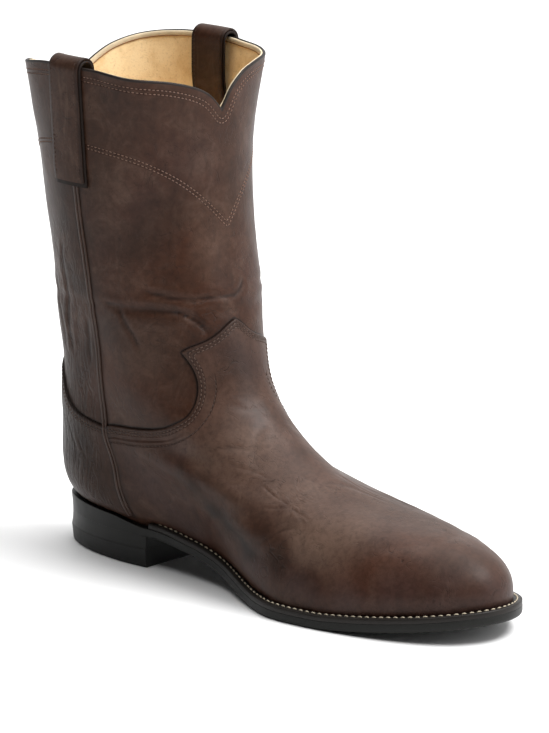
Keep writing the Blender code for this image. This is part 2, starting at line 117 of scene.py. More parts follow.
def curve(xs, ys, at):
    """Smooth curve through (xs, ys) that never overshoots its points."""
    xs = np.asarray(xs, float)
    ys = np.asarray(ys, float)
    at = np.clip(np.asarray(at, float), xs[0], xs[-1])
    flat = ys.ndim == 1
    if flat:
        ys = ys[:, None]
    h = np.diff(xs)[:, None]
    d = np.diff(ys, axis=0) / h
    m = np.zeros_like(ys)
    w1 = 2 * h[1:] + h[:-1]
    w2 = h[1:] + 2 * h[:-1]
    same = d[:-1] * d[1:] > 0
    safe0 = np.where(same, d[:-1], 1.0)
    safe1 = np.where(same, d[1:], 1.0)
    m[1:-1] = np.where(same, (w1 + w2) / (w1 / safe0 + w2 / safe1), 0.0)
    for end, (p, q, hp, hq) in ((0, (d[0], d[1], h[0], h[1])), (-1, (d[-1], d[-2], h[-1], h[-2]))):
        e = ((2 * hp + hq) * p - hp * q) / (hp + hq)
        e = np.where(np.sign(e) != np.sign(p), 0.0, e)
        e = np.where((np.sign(p) != np.sign(q)) & (np.abs(e) > 3 * np.abs(p)), 3 * p, e)
        m[end] = e
    i = np.clip(np.searchsorted(xs, at, side="right") - 1, 0, len(xs) - 2)
    hh = (xs[i + 1] - xs[i])
    t = (at - xs[i]) / hh
    t, hh = t[..., None], hh[..., None]
    r = ((1 + 2 * t) * (1 - t) ** 2 * ys[i] + t * (1 - t) ** 2 * hh * m[i]
         + t * t * (3 - 2 * t) * ys[i + 1] - t * t * (1 - t) * hh * m[i + 1])
    return r[..., 0] if flat else r


def column(table, i):
    return [row[i] for row in table]


def share_of(theta):
    return (1 - np.cos(theta)) / 2


def outline_plain(theta):
    s = share_of(theta)
    sn = np.sin(theta)
    xs = [0.0] + column(SOLE_TABLE, 0) + [1.0]
    inner = column(SOLE_TABLE, 1)
    outer = column(SOLE_TABLE, 2)
    ci = curve(xs, [inner[0]] + inner + [inner[-1]], s)
    co = curve(xs, [outer[0]] + outer + [outer[-1]], s)
    x = np.where(sn >= 0, SOLE_CENTRE_X - np.abs(sn) * ci, SOLE_CENTRE_X + np.abs(sn) * co)
    return x, SOLE_BACK + s * (SOLE_FRONT - SOLE_BACK)


def soft_loop(values, passes):
    for _ in range(passes):
        values = 0.25 * np.roll(values, 1, 0) + 0.5 * values + 0.25 * np.roll(values, -1, 0)
    return values


DENSE = 1440
DENSE_T = np.linspace(0, TAU, DENSE + 1)[:-1]
_dx, _da = outline_plain(DENSE_T)
# the sole's edge has no sudden change of bend, so its table is eased over a few degrees
DENSE_X = soft_loop(_dx, 160)


def outline_raw(theta):
    theta = np.mod(theta, TAU)
    x = np.interp(theta, np.append(DENSE_T, TAU), np.append(DENSE_X, DENSE_X[0]))
    return x, SOLE_BACK + share_of(theta) * (SOLE_FRONT - SOLE_BACK)


def outline(theta, inset=0.0):
    h = 1e-2
    x, a = outline_raw(theta)
    x1, a1 = outline_raw(theta + h)
    x0, a0 = outline_raw(theta - h)
    dx, da = x1 - x0, a1 - a0
    n = np.hypot(dx, da) + 1e-12
    return x + inset * da / n, a - inset * dx / n


def under(a):
    return curve(column(UNDER_TABLE, 0), column(UNDER_TABLE, 1), a)


def edge_top(a):
    return under(a) + EDGE_THICK + np.interp(a, [0, 80], [SEAT_RISE, 0])


def sole_top(a):
    return edge_top(a) - (WELT_THICK + GAP) * curve([40, 56, 84, 100], [0, 0, 1, 1], a)


def feather(theta):
    return curve(column(FEATHER_TABLE, 0), column(FEATHER_TABLE, 1), share_of(theta))


def widths(values, s):
    return curve((0.0,) + STATIONS + (1.0,), [values[0]] + list(values) + [values[-1]], s)


def ring(row, theta, sag=0.0):
    s = share_of(theta)
    sn = np.sin(theta)
    ab, zb, af, zf, xo = row[:5]
    x = np.where(sn >= 0, xo - np.abs(sn) * widths(row[5:9], s), xo + np.abs(sn) * widths(row[9:13], s))
    return np.stack([x, ab + s * (af - ab), zb + s * (zf - zb) + sag], axis=1)


def collar(theta):
    s = share_of(theta)
    sn = np.sin(theta)
    half = np.degrees(np.arccos(np.clip(np.cos(theta), -1, 1)))
    zi = curve(column(COLLAR_TABLE, 0), column(COLLAR_TABLE, 1), half)
    zo = curve(column(COLLAR_TABLE, 0), column(COLLAR_TABLE, 2), half)
    x = COLLAR_X + np.where(sn >= 0, -1.0, 1.0) * np.abs(sn) * widths(COLLAR_WIDTHS, s)
    a = COLLAR_BACK + s * (COLLAR_FRONT - COLLAR_BACK)
    return np.stack([x, a, np.where(sn >= 0, zi, zo)], axis=1)


def key_rings(theta):
    x, a = outline(theta, feather(theta))
    low = np.stack([x, a, sole_top(a) + GAP + 0.15], axis=1)
    r0 = np.stack([x, a, np.maximum(edge_top(a) + 0.2, low[:, 2] + 1.2)], axis=1)
    s = share_of(theta)
    chord = r0[np.argmin(s), 2] + s * (r0[np.argmax(s), 2] - r0[np.argmin(s), 2])
    sag = r0[:, 2] - chord
    rows = [r0]
    for j, row in enumerate(FOOT_TABLE):
        rows.append(ring(row, theta, sag * ARCH_SHARE[j + 1]))
    for ab, z, af, xo, w in SHAFT_TABLE:
        rows.append(ring((ab, z, af, z, xo) + (w,) * 8, theta))
    return low, np.array(rows)


def side_x(outer_side, a, z):
    zs = column(SHAFT_TABLE, 1)
    ab, af, xo, w = (curve(zs, column(SHAFT_TABLE, k), min(z, 210.0)) for k in (0, 2, 3, 4))
    sign = 1.0 if outer_side else -1.0
    s = (a - ab) / (af - ab)
    x_low = xo + sign * 2 * math.sqrt(s * (1 - s)) * w
    if z <= 210.0:
        return float(x_low)
    s2 = (a - COLLAR_BACK) / (COLLAR_FRONT - COLLAR_BACK)
    x_top = COLLAR_X + sign * 2 * math.sqrt(s2 * (1 - s2)) * float(widths(COLLAR_WIDTHS, np.array([s2]))[0])
    k = (z - 210.0) / (263.0 - 210.0)
    return float(x_low * (1 - k) + x_top * k)


# ---------------------------------------------------------------- dense surface of the upper
NU = 336
ROWS_FOOT, ROWS_SHAFT, ROWS_TOP = 116, 54, 38
THETA = np.linspace(0, TAU, NU + 1)[:-1]
N_FOOT = len(FOOT_TABLE)


def unit(v):
    return v / (np.linalg.norm(v, axis=-1, keepdims=True) + 1e-12)


def dense_rows():
    low, rows = key_rings(THETA)
    last = len(rows) - 1
    t = np.concatenate([np.linspace(0, N_FOOT, ROWS_FOOT + 1), np.linspace(N_FOOT, last, ROWS_SHAFT + 1)[1:]])
    body = curve(np.arange(len(rows)), rows.reshape(len(rows), -1), t).reshape(len(t), NU, 3)
    rim = collar(THETA)
    step = body[-1] - body[-2]
    gap = rim - body[-1]
    reach = np.linalg.norm(gap, axis=1, keepdims=True) / (np.linalg.norm(step, axis=1, keepdims=True) + 1e-9)
    m0 = step * reach
    m1 = gap * 1.0
    top = []
    for k in np.linspace(0, 1, ROWS_TOP + 1)[1:]:
        top.append((2 * k ** 3 - 3 * k ** 2 + 1) * body[-1] + (k ** 3 - 2 * k ** 2 + k) * m0
                   + (3 * k ** 2 - 2 * k ** 3) * rim + (k ** 3 - k ** 2) * m1)
    p = np.concatenate([body, np.array(top)])
    # ease the rows into each other; the first rows and the rim stay as they are
    hold = np.ones(len(p))
    hold[:10] = np.linspace(0, 1, 10)
    hold[-14:] = np.linspace(1, 0, 14)
    hold = hold[:, None, None]
    for _ in range(26):
        q = p.copy()
        q[1:-1] = 0.25 * p[:-2] + 0.5 * p[1:-1] + 0.25 * p[2:]
        q = 0.25 * np.roll(q, 1, 1) + 0.5 * q + 0.25 * np.roll(q, -1, 1)
        p = p * (1 - hold) + q * hold
    return low, p


LOW, P = dense_rows()


def normals(p):
    du = np.roll(p, -1, 1) - np.roll(p, 1, 1)
    dv = np.gradient(p, axis=0)
    n = unit(np.cross(du, dv))
    if ((p - p.mean(axis=1, keepdims=True)) * n).sum() < 0:
        n = -n
    return n


N = normals(P)


def column_pos(theta_deg):
    u = (theta_deg % 360.0) / 360.0 * NU
    i = int(u) % NU
    return i, (i + 1) % NU, u - int(u)


def locate(theta_deg, z):
    """Row of the surface where the column at theta reaches height z."""
    i, j, f = column_pos(theta_deg)
    zc = P[:, i, 2] * (1 - f) + P[:, j, 2] * f
    return float(np.interp(z, np.maximum.accumulate(zc), np.arange(len(zc))))


def pick(arr, theta_deg, v):
    i, j, f = column_pos(theta_deg)
    k = min(int(v), len(arr) - 2)
    g = v - k
    lo = arr[k, i] * (1 - f) + arr[k, j] * f
    hi = arr[k + 1, i] * (1 - f) + arr[k + 1, j] * f
    return lo * (1 - g) + hi * g


def point(theta_deg, z):
    return pick(P, theta_deg, locate(theta_deg, z))


def trace(points, step=0.6, smooth=True):
    """Path over the surface through (degrees, height) points: returns its (degrees, height) and 3-D points."""
    pts = np.array(points, float)
    if smooth and len(pts) > 2:
        p3 = np.array([point(*q) for q in pts])
        s = np.concatenate([[0], np.cumsum(np.linalg.norm(np.diff(p3, axis=0), axis=1) + 1e-6)])
        # a smooth curve through all the points
        n = max(8, int(s[-1] / step))
        at = np.linspace(0, s[-1], n + 1)
        m = np.zeros_like(pts)
        m[1:-1] = (pts[2:] - pts[:-2]) / (s[2:] - s[:-2])[:, None]
        m[0] = (pts[1] - pts[0]) / (s[1] - s[0])
        m[-1] = (pts[-1] - pts[-2]) / (s[-1] - s[-2])
        i = np.clip(np.searchsorted(s, at, side="right") - 1, 0, len(s) - 2)
        h = (s[i + 1] - s[i])[:, None]
        t = ((at - s[i])[:, None]) / h
        q = ((1 + 2 * t) * (1 - t) ** 2 * pts[i] + t * (1 - t) ** 2 * h * m[i]
             + t * t * (3 - 2 * t) * pts[i + 1] - t * t * (1 - t) * h * m[i + 1])
    else:
        p3 = np.array([point(*q) for q in pts])
        s = np.concatenate([[0], np.cumsum(np.linalg.norm(np.diff(p3, axis=0), axis=1) + 1e-6)])
        at = np.linspace(0, s[-1], max(8, int(s[-1] / step)) + 1)
        q = np.stack([np.interp(at, s, pts[:, k]) for k in (0, 1)], axis=1)
    return q, np.array([point(*r) for r in q])


def to_line(points, line, reach=1e9):
    """Distance from each point to a polyline, and the length along it of the nearest place."""
    tree = KDTree(len(line))
    for i, c in enumerate(line):
        tree.insert(c, i)
    tree.balance()
    s = np.concatenate([[0], np.cumsum(np.linalg.norm(np.diff(line, axis=0), axis=1))])
    idx = np.array([tree.find(c)[1] for c in points])
    best = np.full(len(points), 1e9)
    along = np.zeros(len(points))
    for off in (-1, 0):
        a = np.clip(idx + off, 0, len(line) - 2)
        p, d = line[a], line[a + 1] - line[a]
        t = np.clip(((points - p) * d).sum(1) / ((d * d).sum(1) + 1e-12), 0, 1)
        r = np.linalg.norm(points - p - d * t[:, None], axis=1)
        better = r < best
        best = np.where(better, r, best)
        along = np.where(better, s[a] + t * (s[a + 1] - s[a]), along)
    return best, along


# ---------------------------------------------------------------- value noise
def lattice(ix, iy, iz, seed):
    h = (ix * 374761393 + iy * 668265263 + iz * 2147483647 + seed * 1274126177) & 0xFFFFFFFF
    h = ((h ^ (h >> 13)) * 1274126177) & 0xFFFFFFFF
    return ((h ^ (h >> 16)) & 0xFFFF) / 32767.5 - 1.0


def noise(p, size, seed):
    q = np.asarray(p, float) / size + 1000.0
    i = np.floor(q).astype(np.int64)
    f = q - i
    f = f * f * f * (f * (f * 6 - 15) + 10)
    out = np.zeros(q.shape[:-1])
    for dx in (0, 1):
        for dy in (0, 1):
            for dz in (0, 1):
                w = (np.where(dx, f[..., 0], 1 - f[..., 0]) * np.where(dy, f[..., 1], 1 - f[..., 1])
                     * np.where(dz, f[..., 2], 1 - f[..., 2]))
                out += w * lattice(i[..., 0] + dx, i[..., 1] + dy, i[..., 2] + dz, seed)
    return out


# ---------------------------------------------------------------- creases
# (degrees round, height) points, depth, half width
CREASES = (
    # shaft, above the tongue, inner side
    (((93.5, 141.5), (98, 140.6), (104, 140.2), (117, 140.2), (127, 140.3), (136.5, 140.0), (143.5, 137.7), (149.5, 134.6), (153.5, 130.2), (155.5, 126.5)), 0.85, 1.8),
    (((120, 150.5), (129, 148.2), (140, 146.4), (149, 146.0), (164.5, 147.4), (176, 147.0), (184, 150.5), (188, 156)), 0.58, 1.8),
    (((101, 140.0), (105, 137), (107.5, 131), (111, 124), (113, 117)), 0.5, 1.5),
    (((103, 137.5), (112, 136.8), (124, 136.0), (136, 135.6)), 0.26, 1.2),
    # shaft, outer side
    (((262, 138), (250, 140.5), (238, 141), (226, 139), (216, 133)), 0.6, 2.2),
    (((240, 148), (224, 147.5), (206, 149.5)), 0.4, 2.4),
    (((256, 126), (246, 121), (238, 113)), 0.4, 2.4),
    # back of the shaft
    (((72, 170), (66, 160), (65, 141), (59, 122), (58, 107)), 0.5, 2.2),
    (((80, 132), (76, 120), (73, 104)), 0.4, 1.8),
    (((52, 150), (50, 134), (52, 118), (49, 106)), 0.45, 2.2),
    (((38, 168), (36, 150), (30, 132)), 0.35, 2.6),
    (((318, 160), (312, 142), (306, 124), (303, 108)), 0.5, 2.4),
    (((296, 140), (290, 124), (287, 106)), 0.4, 2.0),
    (((330, 176), (334, 158), (328, 138)), 0.35, 2.8),
    (((4, 168), (12, 150), (6, 134)), 0.3, 3.0),
    (((345, 142), (0, 137), (18, 141)), 0.4, 3.2),
    # throat, where the foot turns up into the shaft
    (((150, 94.2), (158, 92.6), (165, 90.4), (181, 89.7), (189, 88.4), (200, 90)), 0.17, 1.6),
    (((176, 85.2), (162, 81), (149, 73.2), (138, 62.9)), 0.24, 2.9),
    (((188, 84), (202, 79), (214, 70), (224, 61)), 0.24, 2.9),
    (((117, 70.9), (134, 74.6), (147, 73.4), (156, 72.7)), 0.3, 1.9),
    # flex of the vamp
    (((128, 52.2), (121, 51.0), (114, 50.1)), 0.26, 0.9),
    (((128, 52.2), (130, 56.2), (132.5, 59.9)), 0.26, 0.9),
    (((128, 52.2), (136, 57.4), (145, 61.1)), 0.26, 0.9),
    (((128, 52.2), (143, 57.0), (158.5, 60.1)), 0.24, 1.0),
    (((128, 52.2), (141, 54.6), (154, 55.7)), 0.22, 0.9),
    (((128, 52.2), (127, 49.0), (124.5, 46.5)), 0.24, 0.9),
    (((128, 52.2), (121, 45.0), (113.5, 38.7)), 0.24, 0.9),
    (((128, 52.2), (118, 47.0), (108.5, 41.6)), 0.24, 1.0),
    (((106, 60.7), (112, 65.5), (118.5, 69.3)), 0.18, 1.1),
    (((125, 67.2), (130, 66.0), (136, 64.6), (141, 61.5)), 0.2, 1.0),
    (((140, 74.1), (150, 75.4), (160, 75.2)), 0.16, 1.2),
    (((112, 57.5), (120, 58.8), (128, 61.5)), 0.16, 1.1),
    (((101, 31.4), (107, 37.8), (113, 42.3), (120, 45)), 0.3, 1.7),
    (((160, 64), (168, 60), (176, 57.5)), 0.28, 1.5),
    (((150, 57), (165, 59), (180, 59.5), (195, 56.5), (208, 51)), 0.26, 2.2),
    (((230, 52), (229, 47), (224, 43)), 0.34, 1.7),
    (((238, 49), (236, 42), (232, 37)), 0.32, 1.7),
    (((214, 60), (222, 54), (230, 44)), 0.3, 1.9),
    (((196, 62), (205, 58), (212, 51)), 0.28, 1.6),
    # where the toe box begins
    (((222, 40.5), (204, 44.2), (187, 45.4), (166, 44.5), (141, 41.5), (131, 38)), 0.32, 4.0),
    # inner side, long soft valley between waist and ball
    (((101, 62), (95, 53.5), (94, 47.6), (93, 38), (97, 30), (104, 27.6)), 0.55, 5.0),
    # heel cover
    (((24, 93), (27, 78), (24, 60), (27, 44)), 0.3, 1.3),
    (((33, 92), (32, 76), (36, 62), (33, 46), (35, 36)), 0.32, 1.3),
    (((41, 82), (40, 70), (43, 56), (39, 43)), 0.28, 1.2),
    (((47, 72), (46, 62), (49, 50)), 0.24, 1.2),
    (((16, 92), (14, 74), (17, 54)), 0.28, 1.5),
    (((344, 90), (346, 70), (342, 50)), 0.28, 1.5),
    (((330, 90), (328, 72), (331, 52)), 0.3, 1.4),
    (((318, 80), (320, 64), (316, 46)), 0.28, 1.4),
)
# single soft swellings: (degrees, height), rise, radius
SWELLS = (
    ((72, 38), 0.5, 12), ((120, 205), 0.5, 26), ((160, 165), 0.5, 24), ((230, 180), 0.6, 28), ((300, 190), 0.5, 26),
    ((40, 190), 0.5, 26), ((140, 110), 0.4, 14), ((95, 110), -0.5, 20), ((265, 110), -0.5, 20),
)


def shaped(p, n):
    flat = p.reshape(-1, 3)
    move = np.zeros(len(flat))
    dark = np.zeros(len(flat))
    for pts, depth, half in CREASES:
        _, line = trace(pts, 1.0)
        lo, hi = line.min(0) - 4.5 * half, line.max(0) + 4.5 * half
        near = np.nonzero(((flat > lo) & (flat < hi)).all(1))[0]
        d, s = to_line(flat[near], line)
        total = np.linalg.norm(np.diff(line, axis=0), axis=1).sum()
        end = np.clip(np.minimum(s, total - s) / min(0.25 * total, 7.0), 0, 1)
        end = end * end * (3 - 2 * end)
        wander = 1 + 0.35 * noise(flat[near], 9.0, 5)
        w = 0.85 * half * wander
        prof = -np.exp(-(d / w) ** 2) + 0.42 * np.exp(-((d - 2.1 * w) / (1.1 * w)) ** 2)
        move[near] += depth * prof * end
        # along the narrower creases the colour is darkened: painted shade in the crease
        thin = np.minimum(0.60 * w, 1.05)
        dark[near] = np.maximum(dark[near], min(1.0, 1.9 * depth) * np.exp(-(d / thin) ** 2) * end * (half < 3.0))
    for (deg, z), rise, radius in SWELLS:
        c = point(deg, z)
        d = np.linalg.norm(flat - c, axis=1)
        move += rise * np.exp(-(d / radius) ** 2)
    move += 0.26 * noise(flat, 31.0, 1) + 0.14 * noise(flat, 13.0, 2) + 0.045 * noise(flat, 5.5, 3)
    k = np.ones(len(p))
    k[:12] = np.linspace(0, 1, 12)
    k[-6:] = np.linspace(1, 0.0, 6)
    return p + n * (move.reshape(p.shape[:2]) * k[:, None])[..., None], dark


# ---------------------------------------------------------------- lines of the pattern
SEAM_IN = ((91, 264), (90.5, 230), (90.5, 202.5), (89.7, 187.5), (89.4, 174.6), (89.2, 163), (88, 150), (85.6, 136),
           (83.4, 123), (79, 99.4), (73, 85.5), (67, 73.1), (61.2, 59.5), (58.4, 46.1), (57.8, 35.6), (57.4, 27.2))
SEAM_OUT = tuple((360 - q, z) for q, z in SEAM_IN)
COVER_IN = ((0, 103.5), (12, 102.4), (24, 99.0), (32, 95.6), (37.5, 91.0), (42, 84.2), (48.5, 77.9), (57, 74.9), (67, 73.1))
VAMP_IN = ((67, 73.1), (71, 74.6), (83, 75.8), (97, 77.9), (107, 80.2), (115, 82.9), (125, 87.0), (133, 92.6),
           (138.4, 99.0), (140.6, 105.0), (140.4, 110.6), (138.4, 115.4), (135.8, 119.6))
TONGUE_IN = ((135.8, 119.6), (140, 121.6), (147, 123.8), (154, 126.2), (161, 129.6), (167.5, 133.2), (172.8, 135.4))
TONGUE_OUT = ((172.8, 135.4), (177.5, 132.6), (183, 128.8), (189, 126.2), (196, 124.3), (204, 122.4), (212, 119.8))
VAMP_OUT = ((212, 119.8), (209.2, 115.2), (207.0, 110.4), (206.6, 105.0), (208.8, 99.0), (214.5, 92.6), (223, 87.0),
            (235, 82.9), (246, 80.2), (258, 77.9), (273, 75.8), (286, 74.6), (293, 73.1))
COVER_OUT = tuple((360 - q, z) for q, z in COVER_IN[::-1])
CHEV_FRONT = ((86, 223.2), (101.5, 222.1), (114, 220.2), (128.5, 216.6), (140.5, 211.6), (151, 205.8), (161, 198.6), (171, 189.8),
              (179.6, 181.6))
CHEV_FRONT_OUT = tuple((359.2 - q, z + 1.0 * (q < 130)) for q, z in CHEV_FRONT[::-1])
CHEV_BACK = ((-94, 223.2), (-74, 221.4), (-56, 218.0), (-40, 212.5), (-26, 205.0), (-12, 195.5), (0, 186.0))
CHEV_BACK_IN = tuple((-q, z) for q, z in CHEV_BACK[::-1])

BARE = P.copy()
P, CREASE_SHADE = shaped(P, N)
N = normals(P)


def joined(*parts):
    qs, ps = [], []
    for k, part in enumerate(parts):
        q, p = trace(part)
        qs.append(q if k == 0 else q[1:])
        ps.append(p if k == 0 else p[1:])
    return np.concatenate(qs), np.concatenate(ps)


LOOP_Q, LOOP = joined(COVER_IN, VAMP_IN, TONGUE_IN, TONGUE_OUT, VAMP_OUT, COVER_OUT)
CHEV_Q, CHEV = joined(CHEV_FRONT, CHEV_FRONT_OUT)
CHEVB_Q, CHEVB = joined(CHEV_BACK, CHEV_BACK_IN)
SEAMS = {"inner": trace(SEAM_IN), "outer": trace(SEAM_OUT)}


def inside(poly, pts):
    out = np.zeros(len(pts), bool)
    x, y = pts[:, 0], pts[:, 1]
    j = len(poly) - 1
    for i in range(len(poly)):
        xi, yi = poly[i]
        xj, yj = poly[j]
        if yi != yj:
            c = (yi > y) != (yj > y)
            if c.any():
                out ^= c & (x < (xj - xi) * (y - yi) / (yj - yi) + xi)
        j = i
    return out


# ---------------------------------------------------------------- mesh helpers
MM = 0.001
X_SHIFT = Y_ZERO = 0.0


def find_shift():
    """Where the boot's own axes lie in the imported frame, from the outsole's ends."""
    lo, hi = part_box("outsole")
    t = np.linspace(0, TAU, 65)[:-1]
    xs, as_ = outline_plain(t)
    return (lo.x + hi.x) / 2 - (xs.min() + xs.max()) / 2 * MM, hi.y + as_.min() * MM


X_SHIFT, Y_ZERO = find_shift()


def world(p):
    p = np.asarray(p, float)
    out = np.empty_like(p)
    out[..., 0] = p[..., 0] * MM + X_SHIFT
    out[..., 1] = Y_ZERO - p[..., 1] * MM
    out[..., 2] = p[..., 2] * MM
    return out


def make(name, verts, faces, material, body="root", smooth=True, sharp=None, attrs=None):
    """Mesh piece from points in the boot's own axes. The faces come in either winding and are kept as given."""
    v = world(verts)
    mesh = bpy.data.meshes.new(name)
    faces = [tuple(int(i) for i in f) for f in faces]
    mesh.from_pydata([tuple(c) for c in v], [], faces)
    mesh.update()
    obj = bpy.data.objects.new(name, mesh)
    bpy.context.scene.collection.objects.link(obj)
    mesh.materials.append(material)
    if attrs:
        for key, val in attrs.items():
            a = mesh.attributes.new(key, "FLOAT", "POINT")
            a.data.foreach_set("value", np.asarray(val, np.float32))
    if smooth:
        mesh.polygons.foreach_set("use_smooth", np.ones(len(mesh.polygons), bool))
        if sharp:
            mesh.set_sharp_from_angle(angle=math.radians(sharp))
    if body:
        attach(obj, body)
    return obj


def quads(rows, cols, closed, base=0, flip=False):
    f = []
    for r in range(rows - 1):
        for c in range(cols if closed else cols - 1):
            d = (c + 1) % cols
            q = (base + r * cols + c, base + r * cols + d, base + (r + 1) * cols + d, base + (r + 1) * cols + c)
            f.append(q[::-1] if flip else q)
    return f


def outward(obj):
    """Turns a closed piece's faces outwards."""
    import bmesh
    bm = bmesh.new()
    bm.from_mesh(obj.data)
    bmesh.ops.recalc_face_normals(bm, faces=bm.faces)
    if bm.calc_volume(signed=True) < 0:
        bmesh.ops.reverse_faces(bm, faces=bm.faces)
    bm.to_mesh(obj.data)
    bm.free()
    return obj


def split(attr, tris, k, level):
    """Cuts the triangles along the line where column k of attr equals level."""
    f = attr[:, k] - level
    f = np.where(np.abs(f) < 1e-5, 1e-5, f)
    s = f[tris] > 0
    c = s.sum(1)
    cross = (c == 1) | (c == 2)
    keep, cut, sc = tris[~cross], tris[cross], s[cross]
    lone = np.where(sc.sum(1) == 1, sc.argmax(1), (~sc).argmax(1))
    order = (lone[:, None] + np.arange(3)) % 3
    cut = np.take_along_axis(cut, order, 1)
    n = len(attr)
    a, b, d = cut.T
    e = np.concatenate([np.stack([a, b], 1), np.stack([a, d], 1)])
    e.sort(axis=1)
    code, inv = np.unique(e[:, 0].astype(np.int64) * n + e[:, 1], return_inverse=True)
    inv = inv.reshape(-1)
    i0, i1 = code // n, code % n
    t = (f[i0] / (f[i0] - f[i1]))[:, None]
    new = attr[i0] * (1 - t) + attr[i1] * t
    new[:, k] = level
    m = len(cut)
    p, q = n + inv[:m], n + inv[m:]
    tris = np.concatenate([keep, np.stack([a, p, q], 1), np.stack([p, b, d], 1), np.stack([p, d, q], 1)])
    return np.concatenate([attr, new]), tris


def iso_lines(pos, tris, field, level):
    """Polylines where field equals level, as chains of 3-D points."""
    f = field - level
    f = np.where(np.abs(f) < 1e-6, 1e-6, f)
    s = f[tris] > 0
    c = s.sum(1)
    cross = (c == 1) | (c == 2)
    cut, sc = tris[cross], s[cross]
    lone = np.where(sc.sum(1) == 1, sc.argmax(1), (~sc).argmax(1))
    order = (lone[:, None] + np.arange(3)) % 3
    cut = np.take_along_axis(cut, order, 1)
    n = len(pos)
    a, b, d = cut.T
    e = np.concatenate([np.stack([a, b], 1), np.stack([a, d], 1)])
    e.sort(axis=1)
    code, inv = np.unique(e[:, 0].astype(np.int64) * n + e[:, 1], return_inverse=True)
    inv = inv.reshape(-1)
    i0, i1 = code // n, code % n
    t = (f[i0] / (f[i0] - f[i1]))[:, None]
    pts = pos[i0] * (1 - t) + pos[i1] * t
    links = {}
    m = len(cut)
    for p, q in zip(inv[:m].tolist(), inv[m:].tolist()):
        links.setdefault(p, []).append(q)
        links.setdefault(q, []).append(p)
    seen, chains = set(), []
    starts = [k for k, v in links.items() if len(v) == 1] + list(links)
    for k in starts:
        if k in seen:
            continue
        chain = [k]
        seen.add(k)
        cur = k
        while True:
            nxt = [q for q in links[cur] if q not in seen]
            if not nxt:
                break
            cur = nxt[0]
            seen.add(cur)
            chain.append(cur)
        if len(chain) > 2 and chain[0] in links[chain[-1]] and len(links[chain[0]]) == 2:
            chain.append(chain[0])
        chains.append(pts[chain])
    return chains


def resample(line, step):
    s = np.concatenate([[0], np.cumsum(np.linalg.norm(np.diff(line, axis=0), axis=1))])
    n = max(1, int(round(s[-1] / step)))
    at = np.linspace(0, s[-1], n + 1)
    return np.stack([np.interp(at, s, line[:, k]) for k in range(3)], axis=1)


# ---------------------------------------------------------------- materials
def socket(node, *names):
    for nm in names:
        if nm in node.inputs:
            return node.inputs[nm]
    return None


